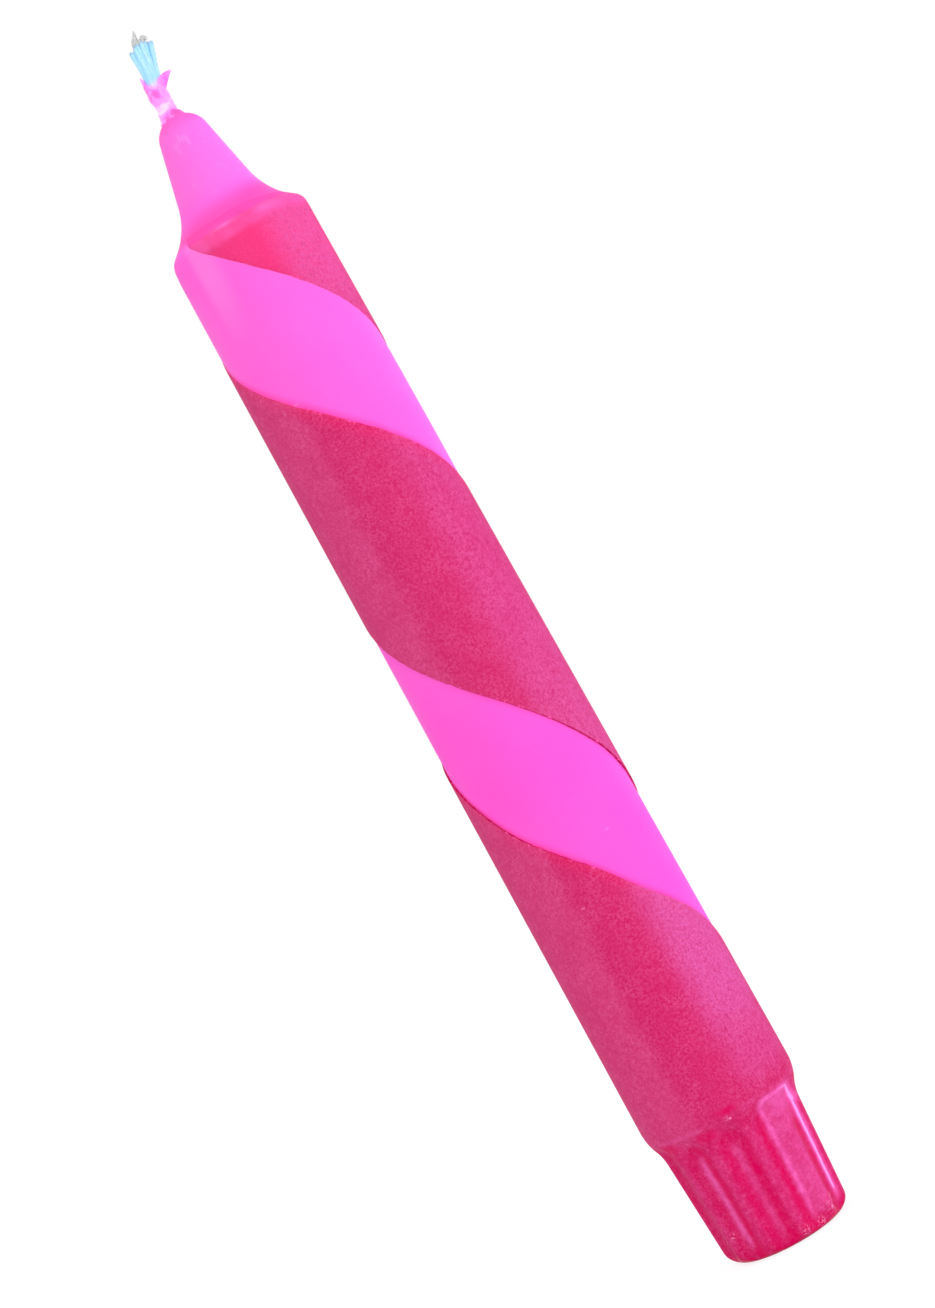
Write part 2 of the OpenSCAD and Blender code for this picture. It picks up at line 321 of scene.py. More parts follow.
def arc(centre, radius, start, end, grow, steps=14):
    """Points centre + (radius + grow) (cos a, sin a), a from start to end. A hollow's radius is negative."""
    a = np.linspace(start, end, steps + 1)
    return np.asarray(centre) + (radius + grow) * np.stack([np.cos(a), np.sin(a)], axis=1)


def refine(points, step):
    """An outline whose straight runs are split into equal parts no longer than step."""
    runs = np.linalg.norm(np.diff(points, axis=0), axis=1)
    parts = np.maximum(1, np.ceil(runs / step)).astype(int)
    run = np.repeat(np.arange(len(runs)), parts)
    share = (np.arange(parts.sum()) - np.repeat(np.cumsum(parts) - parts, parts)) / np.repeat(parts, parts)
    split = points[run] + share[:, None] * (points[run + 1] - points[run])
    return np.concatenate([split, points[-1:]])


def turned(radius, turn, height):
    """Points at a radius and a height, turned from the front towards the right."""
    return np.stack(np.broadcast_arrays(radius * np.sin(turn), -radius * np.cos(turn), height), axis=-1)


def spot(turn, height, radius, at, spot_z, reach):
    """1 in the middle of a round spot on a tube, falling off with its reach. at is its turn in degrees."""
    across = np.sin((turn - math.radians(at)) / 2) * 2 * radius
    return np.exp(-(across**2 + (height - spot_z) ** 2) / reach**2)


class CandleShape:
    """The turned outline and the flutes, worked out from the driving sizes."""

    def __init__(self, form, dip):
        self.form = form
        self.wax_z = dip.thickness + dip.bond_gap
        self.shoulder_z = form.foot_h + form.body_h
        self.top_z = self.shoulder_z + form.neck_h
        self.foot_draft = math.atan((form.foot_top_d - form.foot_bottom_d) / 2 / (form.foot_h - self.wax_z))
        self.body_draft = math.atan((form.body_bottom_d - form.body_top_d) / 2 / form.body_h)

    def outline(self, grow):
        """Half outline (radius, height) from the axis at the bottom to the axis at the top, grown outwards.

        Six arcs, each tangent to the straight runs beside it: the bottom edge, the ogee's two curves,
        the shoulder's corner, the hollow of the neck and the dome.
        """
        form, foot_draft, body_draft = self.form, self.foot_draft, self.body_draft
        slope, neck = form.shoulder_slope, form.neck_slope

        def toward(a):
            return np.array([math.cos(a), math.sin(a)])

        foot_r, body_r, neck_r = form.foot_top_d / 2, form.body_bottom_d / 2, form.neck_top_d / 2
        edge_in = form.foot_edge_round * (1 - math.sin(foot_draft)) / math.cos(foot_draft)
        edge_c = [form.foot_bottom_d / 2 - edge_in, self.wax_z + form.foot_edge_round]
        low_c = np.array([foot_r, form.foot_h]) + form.ogee_round * toward(-foot_draft)
        across = (foot_r - body_r) * math.cos(body_draft)
        across += form.ogee_round * (math.cos(foot_draft + body_draft) + 1)
        ogee_turn = math.acos(across / (2 * form.ogee_round)) - body_draft
        high_c = low_c - 2 * form.ogee_round * toward(-ogee_turn)
        shoulder_c = np.array([form.body_top_d / 2, self.shoulder_z])
        shoulder_c = shoulder_c - form.shoulder_round * toward(body_draft)
        on_shoulder = shoulder_c @ toward(slope) + form.shoulder_round + form.neck_fillet
        on_neck = np.array([neck_r, self.top_z]) @ toward(neck) + form.neck_fillet
        fillet_c = np.linalg.solve([toward(slope), toward(neck)], [on_shoulder, on_neck])
        dome_in = form.dome_round * (1 - math.sin(neck)) / math.cos(neck)
        dome_c = [neck_r - dome_in, self.top_z - form.dome_round]
        return np.concatenate([
            [[0, self.wax_z - grow]],
            arc(edge_c, form.foot_edge_round, -math.pi / 2, -foot_draft, grow),
            arc(low_c, -form.ogee_round, -foot_draft, -ogee_turn, grow),
            arc(high_c, form.ogee_round, -ogee_turn, body_draft, grow),
            arc(shoulder_c, form.shoulder_round, body_draft, slope, grow),
            arc(fillet_c, -form.neck_fillet, slope, neck, grow, steps=28),
            arc(dome_c, form.dome_round, neck, math.pi / 2, grow, steps=24),
            [[0, self.top_z + grow]],
        ])

    def radius_at(self, height, grow):
        """Radius of the grown outline at heights above the foot."""
        line = self.outline(grow)
        return np.interp(height, line[1:-1, 1], line[1:-1, 0])

    def flute_cut(self, turn, height, grow):
        """Radius of the nearest flute's hollow, or a large one where no flute reaches.

        A flute is a cylinder along the foot's side with a ball at its upper end, whose middle lies
        outside the side by its radius less its depth. The radius is where a ray from the axis meets it.
        """
        form = self.form
        pitch = CIRCLE / form.flute_count
        aside = (turn - form.flute_turn + pitch / 2) % pitch - pitch / 2
        side = form.foot_top_d / 2 - np.maximum(form.foot_h - height, 0) * math.tan(self.foot_draft)
        middle = side + form.flute_round - form.flute_depth
        ball = (form.flute_round - grow) ** 2 - np.maximum(height - form.foot_h, 0) ** 2
        inside = ball - (middle * np.sin(aside)) ** 2
        cut = middle * np.cos(aside) - np.sqrt(np.maximum(inside, 0))
        return np.where(inside > 0, cut, OUT_OF_REACH)

    def fluted(self, radius, turn, height, grow):
        """The outline's radius cut by the flutes, with softly rounded ribs."""
        return soft_min(radius, self.flute_cut(turn, height, grow), self.form.rib_round)


# Turns of the stripe from the front near the top, first and last, and the points along them
STRIPE_SPAN = (-1.2, 3.2)
STRIPE_POINTS = 1761
# Places where the tape was laid unevenly: turn and spread in degrees, rise of its lower edge
TAPE_WAVES = ((285, 30, 1.5 * MM), (390, 20, -0.75 * MM))
# Wander of a cut edge: width and step of each kind in millimetres
EDGE_WANDER = ((0.16, 9), (0.08, 2.4), (0.05, 0.7))
# Nicks of a cut edge: depth and step in millimetres, and the part of the noise's range that is one
NICK_DEPTH = 0.22
NICK_STEP = 0.9
NICK_SHARE = 0.28


class BareStripe:
    """Edges of the stripe that the tape kept bare, as heights over the turn.

    The tape's middle falls by the lead in each turn, and the lead grows on the way down. Its edges lie
    half a width to each side, square to its run.
    """

    def __init__(self, shape, dip):
        self.radius = (shape.form.body_bottom_d + shape.form.body_top_d) / 4
        turns = np.linspace(*STRIPE_SPAN, STRIPE_POINTS)
        self.upper_line = self.edge_line(shape, dip, turns, 1)
        self.lower_line = self.edge_line(shape, dip, turns, -1)
        last = np.array([dip.stripe_turns])
        self.end_upper = self.edge_line(shape, dip, last, 1)[:, 0]
        self.end_lower = self.edge_line(shape, dip, last, -1)[:, 0]

    def edge_line(self, shape, dip, turns, side):
        """Turns and heights of one edge of the tape, the upper one at side 1."""
        fall = np.arctan((dip.stripe_lead + dip.lead_growth * turns) / (CIRCLE * self.radius))
        drop = dip.stripe_drop + dip.stripe_lead * turns + dip.lead_growth * turns**2 / 2
        reach = side * dip.tape_w / 2
        turn = CIRCLE * turns + reach * np.sin(fall) / self.radius
        return np.stack([turn, shape.shoulder_z - drop + reach * np.cos(fall)])

    def uneven(self, turn, seed):
        """Small wander of a cut edge, with a nick here and there."""
        along = turn * self.radius / MM
        rough = sum(wide * wander(along, step, seed + k) for k, (wide, step) in enumerate(EDGE_WANDER))
        nick = wander(along, NICK_STEP, seed + len(EDGE_WANDER)) - (1 - NICK_SHARE)
        return (rough + NICK_DEPTH * np.maximum(nick, 0) / NICK_SHARE) * MM

    def upper(self, turn):
        """Height of the stripe's upper edge."""
        return np.interp(turn, *self.upper_line) + self.uneven(turn, 11)

    def lower(self, turn):
        """Height of the stripe's lower edge. Past the tape's square end it runs up to the upper edge."""
        edge = np.interp(turn, *self.lower_line) + self.uneven(turn, 23)
        for middle, spread, rise in TAPE_WAVES:
            edge = edge + rise * hump(np.degrees(turn), middle, spread)
        start, end = self.end_lower, self.end_upper
        cut = np.interp(turn, [start[0], end[0]], [start[1], end[1]])
        edge = np.where(turn < start[0], edge, np.minimum(cut, self.upper(turn)))
        return np.where(turn < end[0], edge, self.upper(turn))


# Wax body

WAX_COLUMNS = 192
WAX_STEP = 0.8 * MM
CHANNEL_ROWS = 24
# Heights between which the wax begins to swell under the thin skin
SWELL_START = (108 * MM, 132 * MM)
# Heights from the shoulder's start between which the swelling ends, from above
SWELL_END = (1 * MM, -2 * MM)
# Largest distance from the stripe's lower edge that is stored
EDGE_REACH = 8 * MM


def wax_grid(shape, stripe, dip):
    """The turned wax body with its flutes and the bored channel of the wick, closed on itself.

    Rows follow the outline up the outside and come back down the channel. The value lower_edge is the
    height above the stripe's lower edge, in millimetres.
    """
    bore = shape.form.wick_bore_d / 2
    line = refine(shape.outline(0), WAX_STEP)
    line = line[line[:, 0] > bore]
    channel_z = np.linspace(line[-1, 1], line[0, 1], CHANNEL_ROWS)
    line = np.concatenate([line, np.stack([np.full(CHANNEL_ROWS, bore), channel_z], axis=1)])
    turn = np.arange(WAX_COLUMNS) * CIRCLE / WAX_COLUMNS - math.pi
    plain, height = line[:, :1], line[:, 1:]
    swell = ease(height, *SWELL_START) * ease(height - shape.shoulder_z, *SWELL_END)
    radius = shape.fluted(plain, turn, height, 0) + dip.sunk * swell * (plain > 2 * bore)
    windings = turn + CIRCLE * np.arange(-1, 3)[:, None]
    edge = np.where(windings < stripe.end_upper[0], stripe.lower(windings), OUT_OF_REACH)
    above = height[:, None, :] - edge
    nearest = np.abs(above).argmin(axis=1)[:, None, :]
    above = np.take_along_axis(above, nearest, axis=1)[:, 0, :]
    return Grid(turned(radius, turn, height), close_rows=True, close_columns=True,
                lower_edge=np.clip(above, -EDGE_REACH, EDGE_REACH) / MM)


# Dyed skin

SKIN_COLUMNS = 240
# Turns that the band above the foot may wind through, and the height where it begins
BAND_TURNS = (-1, 4)
BAND_FLOOR = 23 * MM
# Distances of the rows beside a cut edge
NEAR_EDGE = np.array([0, 0.015, 0.04, 0.08, 0.14, 0.28, 0.5, 0.8, 1.4]) * MM
# Rows between the edges, and the power by which they crowd towards the upper one
BAND_ROWS = 28
BAND_CROWDING = 2.2
# The skin's inner side keeps every third row, and all rows near its upper edge
INNER_SKIP = 3
INNER_NEAR = len(NEAR_EDGE) + 7
FOOT_STEP = 0.3 * MM
INNER_FOOT_STEP = 1.2 * MM
# Largest distance from a cut edge that is stored, and the values of a skin without one
FAR_FROM_EDGE = 3 * MM
NO_CUT = {"under_stripe": FAR_FROM_EDGE / MM, "over_stripe": FAR_FROM_EDGE / MM}
# Rolled edge near the shoulder: how much wider it grows, and the height over which it does
WIDE_ROLL = 1.3 * MM
WIDE_ROLL_H = 45 * MM
# Bead along a cut edge: its middle and half width, counted in roundings of that edge
BEAD_PLACE = (4, 2)
# Waves of the skin's upper edge: height in millimetres, number round the candle and phase
DIP_WAVES = ((0.16, 2, 1), (0.1, 5, 0))
# Height over which the feathered upper edge is tucked into the wax
TUCK_H = 0.5 * MM
# Painted light on the shoulder's skin, highlight dashes and dark notches: across, height, half width and
# half height in millimetres, and the strength of the painted highlight, or below zero the depth of the
# painted shade
SHOULDER_PAINTED_LIGHT = (
    (-1.0, 166.8, 1.7, 0.3, 0.8), (-2.6, 167.3, 1.6, 0.18, 0.4), (5.4, 166.4, 1.8, 0.5, 0.5),
    (1.7, 167.2, 0.7, 0.22, -0.25), (2.7, 166.5, 0.5, 0.3, -0.2),
)

# Flaws of the foot's skin: turn in degrees, height, half width and rise in millimetres
FOOT_FLAWS = (
    (14, 1.2, 0.7, 0.08), (31, 1.1, 0.6, 0.06), (44, 2.3, 0.8, 0.1), (51, 3.2, 0.6, 0.08),
    (41, 1.6, 0.4, -0.25), (-17.5, 10.4, 0.4, -0.25), (-15, 9.8, 0.5, 0.15), (-49, 5.0, 0.4, 0.1),
    (0.8, 21.0, 0.35, 0.12), (120, 1.2, 0.6, 0.1), (205, 2.4, 0.35, -0.2), (250, 1.1, 0.6, 0.1),
)
# Lumps that rise less than this, in millimetres, are crumbs of pale wax
CRUMB_RISE = 0.13

# Flutes from the first onwards: dye and painted shade left of the middle, painted highlight, dye and painted
# shade right of the middle, shift of the highlight
FLUTE_TONES = (
    (0.6, 0.28, 1.0, 0), (1.0, 0.78, 0.1, 0.25), (0.6, 1.25, 1.0, 1.2), (0.8, 0.5, 0.7, 0),
    (0.7, 0.4, 0.8, 0), (0.9, 0.5, 0.6, 0), (0.7, 0.4, 0.8, 0), (0.8, 0.5, 0.7, 0),
    (0.6, 0.6, 0.8, 0), (0.5, 0.08, 0.5, 0), (0.4, 0.58, 1.0, 0.1),
)
# Wander of a flute's middle: width and step in millimetres
FLUTE_WANDER = (0.07, 3.5)
# Arched top of a flute: half width and rise in millimetres
FLUTE_ARCH = (1.9, 2.0)
# Band of dye and painted shade beside a flute's middle: distance from it and half width in millimetres
DYE_SHADE_BAND = (1.4, 0.85)
# Uneven depth of that band: mean, wander, and the step of that in millimetres
DYE_SHADE_DEPTH = (0.95, 0.25, 3.0)
# Painted shade in a flute's arched top, and dye with painted shade in the patches, from 0 to 1
ARCH_SHADE = 0.7
PATCH_DYE_SHADE = 0.95
# Patches of dye and painted shade: turn in degrees, height, half width and half height in millimetres
DYE_SHADE_PATCHES = (
    (-54, 20.3, 1.7, 0.8), (-20, 20.0, 1.7, 0.8), (1, 22.2, 1.5, 0.5), (46, 3.2, 1.0, 0.8),
    (75, 20.4, 1.0, 0.6), (-34, 1.4, 1.4, 0.9), (28, 0.9, 1.2, 0.6), (15, 2.0, 0.9, 0.7),
    (110, 21.5, 1.4, 0.8), (150, 20.4, 1.2, 0.6), (200, 22.0, 1.3, 0.7), (245, 20.5, 1.1, 0.6),
    (280, 21.4, 1.3, 0.7),
)
# Dark band of painted shade right of the rib with the painted sheen: turn and spread in degrees, height and
# half height in millimetres
DARK_BAND = (56, 5, 11.5, 6.5)
# Painted contact shade, ragged, round the bottom: mean height, its wander and the step of that in millimetres
BOTTOM_SHADE = (1.8, 1.0, 1.3)
# Painted highlight of a flute: strength, half width, and height of its upper end above the foot in
# millimetres
STREAK_GLEAM = 0.85
STREAK_HALF = 0.6
STREAK_TOP = 0.8
# A streak brighter than this runs up further, by so many millimetres
BRIGHT_STREAK = 0.7
BRIGHT_RUN = 1.2
# Faint painted highlights on the ribs, along the arches and in a ring on the ogee
RIB_GLEAM = 0.1
ARCH_GLEAM = 0.08
RING_GLEAM = 0.14
# Ring on the ogee: height and half height in millimetres
RING_PLACE = (21.4, 0.35)
# Gap in the ring: turn of its middle in degrees, and distances from it where the ring begins and is full
RING_GAP = -2
RING_START = (8, 18)
# Rib on the right with a painted sheen: first and last turn in degrees, and the sheen's strength
SHEEN_RIB = (27, 49)
SHEEN_RIB_GLEAM = 0.3
# Painted bright highlight in a bow over that rib: middle across and half width, height where it springs and
# rise in millimetres
RIB_BOW = (7.3, 2.4, 18.2, 2.4)
# Painted sheen under the bow, and brightness of the bow's left leg and what its right leg adds
BOW_GLEAM = 0.46
BOW_LEGS = (0.84, 0.18)


class FootPlaces:
    """Places on the foot in degrees and millimetres, and where each lies in its flute.

    aside is the distance from the flute's middle, with a little wander. arch is 1 on the line of the
    flute's arched top and less inside it. across is the distance from the axis as seen from the front.
    """

    def __init__(self, shape, turn, height):
        form = shape.form
        pitch = CIRCLE / form.flute_count
        place = (turn - form.flute_turn) / pitch + 0.5
        self.turn = turn
        self.degrees = np.degrees((turn + math.pi) % CIRCLE - math.pi)
        self.z = height / MM
        self.above = self.z - form.foot_h / MM
        self.flute = np.floor(place).astype(int) % form.flute_count
        self.tones = np.array(FLUTE_TONES)[self.flute % len(FLUTE_TONES)].T
        wide, step = FLUTE_WANDER
        self.aside = (place % 1 - 0.5) * pitch * form.foot_top_d / 2 / MM
        self.aside = self.aside + wide * wander(self.z + 9 * self.flute, step, 41)
        half, tall = FLUTE_ARCH
        self.arch = np.hypot(self.aside / half, np.maximum(self.above, 0) / tall)
        self.on_arch = ease(self.above, -1, 0.5)
        in_front = np.abs(self.degrees) < 90
        self.across = np.where(in_front, shape.radius_at(height, 0) * np.sin(turn) / MM, 0)


def pooled_dye(foot, form):
    """Dye in pools and painted shade on the foot, from 0 to 1.

    It lies as dye and painted shade in two bands beside each flute's middle and in patches, as painted shade
    in each flute's arched top and in a dark band beside the rib with the painted sheen, and as painted
    contact shade in a ragged line round the bottom. Noise along each band varies its depth.
    """
    left, _, right, _ = foot.tones
    on_left = foot.aside < 0
    mean, wide, step = DYE_SHADE_DEPTH
    uneven = mean + wide * wander(foot.z + 30 * foot.flute + 15 * on_left, step, 47)
    side = np.where(on_left, left, right) * uneven
    # Dye and painted shade beside each flute's middle, and painted shade in its arched top
    dye = [side * hump(np.abs(foot.aside), *DYE_SHADE_BAND) * ease(foot.above, 1.2, -0.8),
           side * ARCH_SHADE * ease(foot.arch, 1.2, 0.7) * foot.on_arch]
    for at, pool_z, wide, tall in DYE_SHADE_PATCHES:
        across = np.sin((foot.turn - math.radians(at)) / 2) * form.body_bottom_d / MM
        dye.append(PATCH_DYE_SHADE * hump(across, 0, wide, 4) * hump(foot.z, pool_z, tall, 4))
    # Painted shade in a dark band right of the rib with the painted sheen
    at, spread, band_z, tall = DARK_BAND
    dye.append(PATCH_DYE_SHADE * hump(foot.degrees, at, spread) * hump(foot.z, band_z, tall, 4))
    mean, wide, step = BOTTOM_SHADE
    ragged = mean + wide * wander(foot.turn * form.foot_bottom_d / 2 / MM, step, 43)
    # Painted contact shade round the bottom
    dye.append(ease(foot.z, ragged, ragged - 0.9))
    return np.clip(np.maximum.reduce(np.broadcast_arrays(*dye)), 0, 1)


def foot_gleam(foot):
    """Painted highlights on the foot, from 0 to a little over 1.

    They run along each flute's middle, faintly on the ribs and along the arches, in a ring on the ogee that
    fades at the front, and as a painted sheen over one rib, under a bright bow whose outline is a sixth-power
    oval.
    """
    _, bright, _, shift = foot.tones
    top = STREAK_TOP + BRIGHT_RUN * (bright > BRIGHT_STREAK)
    along = ease(foot.above, top, top - 2) * ease(foot.z, 1.2, 4.2)
    streak = STREAK_GLEAM * bright * hump(foot.aside, shift, STREAK_HALF) * along
    ribs = RIB_GLEAM * ease(np.abs(foot.aside), 1.9, 2.5) * along
    arches = ARCH_GLEAM * hump(foot.arch, 1.3, 0.25) * foot.on_arch
    ring = RING_GLEAM * ease(np.abs(foot.degrees - RING_GAP), *RING_START) * hump(foot.z, *RING_PLACE)
    # Painted sheen over one rib on the right
    first, last = SHEEN_RIB
    from_rib = np.abs(foot.degrees - (first + last) / 2) / (last - first) * 2
    rubbed = SHEEN_RIB_GLEAM * ease(from_rib, 1.1, 0.8) * ease(foot.z, 19.5, 17.5) * ease(foot.z, 1.5, 3.5)
    # Painted bright highlight in a bow over that rib, with painted sheen under it
    middle, half, spring, tall = RIB_BOW
    bow = ((foot.across - middle) / half) ** 6 + (np.maximum(foot.z - spring, 0) / tall) ** 6
    bow = bow ** (1 / 6)
    under_bow = BOW_GLEAM * ease(bow, 1.1, 0.8) * ease(foot.z, 14, 19)
    left_leg, more = BOW_LEGS
    on_bow = hump(bow, 1, 0.2) * ease(foot.z, 16.4, 17.9)
    on_bow = on_bow * (left_leg + more * ease(foot.across, middle, middle + half))
    return np.maximum.reduce(np.broadcast_arrays(streak, ribs, arches, ring, rubbed, under_bow, on_bow))


def edge_profile(distance, height, shape, dip):
    """Share of the skin's thickness at a distance from its cut edge: a quarter round, then a low bead.

    Towards the shoulder, where the skin thins out, the quarter round grows wide.
    """
    wide = WIDE_ROLL * ease(height, shape.shoulder_z - WIDE_ROLL_H, shape.shoulder_z)
    rolled = np.clip(distance / (dip.edge_round + wide), 0, 1)
    bead = dip.edge_bead / dip.thickness * hump(distance / dip.edge_round, *BEAD_PLACE)
    return np.sqrt(1 - (1 - rolled) ** 2) * (1 + bead)


def dip_line(shape, dip, turn):
    """Height of the skin's upper edge, which wanders a little round the shoulder."""
    wave = sum(tall * np.sin(count * turn + phase) for tall, count, phase in DIP_WAVES)
    return shape.shoulder_z + dip.dip_rise + wave * MM


def skin_band(shape, stripe, dip):
    """The skin above the foot: one band that winds down between the stripe's turns.

    Each column is upright. It reaches from the stripe's upper edge, or the foot, up to the lower edge
    one turn back, or the dip line. Past the tape's end the band's two edges meet and merge.
    """
    turn = np.arange(BAND_TURNS[0] * SKIN_COLUMNS, BAND_TURNS[1] * SKIN_COLUMNS) * CIRCLE / SKIN_COLUMNS
    dip_z, cut_z = dip_line(shape, dip, turn), stripe.lower(turn - CIRCLE)
    bottom = np.maximum(stripe.upper(turn), BAND_FLOOR)
    top = np.maximum(np.minimum(dip_z, cut_z), bottom)
    tall = np.flatnonzero(top > bottom)
    kept = slice(tall[0] - 1, tall[-1] + 2)
    turn, bottom, top, dip_z, cut_z = (v[kept] for v in (turn, bottom, top, dip_z, cut_z))
    shrink = np.minimum(1, (top - bottom) / (3 * NEAR_EDGE[-1]))
    near = NEAR_EDGE[:, None] * shrink
    share = 1 - np.linspace(1, 0, BAND_ROWS + 2)[1:-1, None] ** BAND_CROWDING
    between = bottom + near[-1] + share * (top - bottom - 2 * near[-1])
    height = np.concatenate([bottom + near, between, (top - near)[::-1]])

    lean = math.cos(math.atan(dip.stripe_lead / (CIRCLE * stripe.radius)))
    from_top, from_bottom = (top - height) * lean, (height - bottom) * lean
    cut_above = (cut_z < dip_z) & (turn - CIRCLE < stripe.end_upper[0])
    seam_above = (cut_z < dip_z) & ~cut_above
    cut_below = turn < stripe.end_upper[0]
    above = np.where(seam_above, 1, smooth_step((top - height) / dip.feather))
    above = np.where(cut_above, edge_profile(from_top, height, shape, dip), above)
    below = np.where(cut_below, edge_profile(from_bottom, height, shape, dip), 1)
    thickness = np.minimum(above, below)

    def stored(cut, distance):
        return np.minimum(np.where(cut, distance, FAR_FROM_EDGE), FAR_FROM_EDGE) / MM

    def skin(height, thickness, flip, **edges):
        tuck = np.where(top == dip_z, 2 * dip.bond_gap * ease(height, top - TUCK_H, top), 0)
        inner = shape.radius_at(height, dip.bond_gap) - tuck
        outer = shape.radius_at(height, dip.bond_gap + dip.thickness)
        points = turned(inner + thickness * (outer - inner), turn, height)
        x, in_front = points[..., 0] / MM, points[..., 1] < 0
        # Painted light on the shoulder: highlight dashes, and painted shade in dark notches
        marks = np.array([depth * hump(x, at, wide) * hump(height / MM, mark_z, tall) * in_front
                          for at, mark_z, wide, tall, depth in SHOULDER_PAINTED_LIGHT])
        pale, deep = (np.maximum(0, sign * marks).max(axis=0) for sign in (1, -1))
        return Grid(points, flip=flip, pooled=deep, gleam=pale, crumb=0.0, **edges)

    inner_height = np.concatenate([height[:-INNER_NEAR:INNER_SKIP], height[-INNER_NEAR:]])
    edges = {"under_stripe": stored(cut_above, from_top), "over_stripe": stored(cut_below, from_bottom)}
    return [skin(height, thickness, False, **edges), skin(inner_height, 0, True, **NO_CUT)]


def skin_foot(shape, dip):
    """The skin of the foot up to the band, from the bottom's middle: the grown outline, cut by the flutes."""
    turn = np.arange(SKIN_COLUMNS) * CIRCLE / SKIN_COLUMNS

    def skin(grow, step, flip):
        line = refine(shape.outline(grow), step)
        line = line[line[:, 1] < BAND_FLOOR - step / 4]
        end = [[float(shape.radius_at(BAND_FLOOR, grow)), BAND_FLOOR]]
        line = np.concatenate([line, end])
        plain, height = line[:, :1], line[:, 1:]
        radius = shape.fluted(plain, turn, height, grow)
        crumb = np.zeros_like(radius)
        for at, flaw_z, half, lift in FOOT_FLAWS:
            flaw = spot(turn, height, radius, at, flaw_z * MM, half * MM) * (not flip)
            radius = radius + lift * MM * flaw * (plain > shape.form.foot_bottom_d / 4)
            crumb = np.maximum(crumb, flaw * (0 < lift < CRUMB_RISE))
        foot = FootPlaces(shape, turn, height)
        return Grid(turned(radius, turn, height), close_columns=True, flip=flip, crumb=crumb,
                    pooled=pooled_dye(foot, shape.form), gleam=foot_gleam(foot), **NO_CUT)

    return [skin(dip.bond_gap + dip.thickness, FOOT_STEP, False), skin(dip.bond_gap, INNER_FOOT_STEP, True)]


# Wick, with tables in millimetres from the point where it bends

FILM_COLUMNS = 96
FILM_ROWS = 64
FILM_INNER_ROWS = 12
# Film from its root in the dome upwards: height, shift to the right and radius
FILM_FORM = (
    (-2.2, 0.05, 1.7), (-1.55, 0.03, 1.95), (-1.02, 0.02, 1.74), (-0.32, -0.12, 1.5), (0.38, 0.02, 1.38),
    (1.58, -0.07, 1.46), (2.58, -0.14, 1.5), (3.78, -0.12, 1.48), (4.78, -0.05, 1.42), (6.3, 0.05, 1.42),
)
# Torn rim of the film: turn in degrees and height
FILM_RIM = (
    (-180, 5.4), (-120, 5.8), (-85, 6.2), (-60, 5.75), (-35, 4.4), (-5, 3.75), (20, 3.7), (45, 4.4),
    (70, 5.2), (100, 5.35), (140, 5.2), (180, 5.4),
)
# Fine waves of the torn rim: their height, and the number round it and phase of each
RIM_WAVE_H = 0.07
RIM_WAVES = ((7, 1), (12, 2), (19, 0))
# Lumps of the film: height, waves round it for each turn, size and seed
FILM_LUMPS = ((0.09, 1, 2.0, 5), (0.05, 2, 0.8, 8))
# The film thins towards its rim: by how much, and from which share of its height
RIM_THIN = 0.12
RIM_THIN_START = 0.92
# Patches of the film: turn in degrees, height, reach and depth of colour, with pale patches below zero
FILM_PATCHES = (
    (-4, 2.2, 0.45, 0.5), (-8, 2.9, 0.45, 0.5), (0, 2.5, 1.3, 0.3), (-65, 2.4, 0.8, 0.3),
    (-70, 4.2, 1.0, 0.7), (40, 3.3, 0.7, -0.4), (-10, 0.4, 0.8, -1.0), (-45, 0.1, 0.6, -0.8),
    (-70, 1.0, 0.6, -0.5), (45, 0.7, 0.6, -0.4), (25, -0.9, 0.6, 0.9), (65, -1.1, 0.8, 1.0),
    (-15, -1.2, 0.8, 0.7), (120, 1.0, 1.2, 0.6), (180, 3.0, 1.2, 0.6), (-130, 0.5, 1.0, -0.6),
    (150, 0.0, 0.8, -0.6),
)
# Lower and upper edge of the flake: start, pull of the curve, and tip
FLAKE_LOWER = ((0.8, -1.15, 1.9), (1.75, -1.2, 3.4), (3.3, -0.85, 4.7))
FLAKE_UPPER = ((0.8, -1.1, 4.5), (2.1, -1.15, 5.3), (3.3, -0.85, 4.8))
FLAKE_WALL = 0.3 * MM
FLAKE_CURL = 0.2 * MM
FLAKE_TONE = 0.6
FLAKE_ROWS = 24
FLAKE_SIDES = 20
DEPTH_AXIS = np.array([0, 1, 0])


def through(x, places, values):
    """Values at places, joined by S curves."""
    cell = np.clip(np.searchsorted(places, x, side="right") - 1, 0, len(places) - 2)
    low, high = np.take(places, cell), np.take(places, cell + 1)
    share = smooth_step((x - low) / (high - low))
    return np.take(values, cell) * (1 - share) + np.take(values, cell + 1) * share


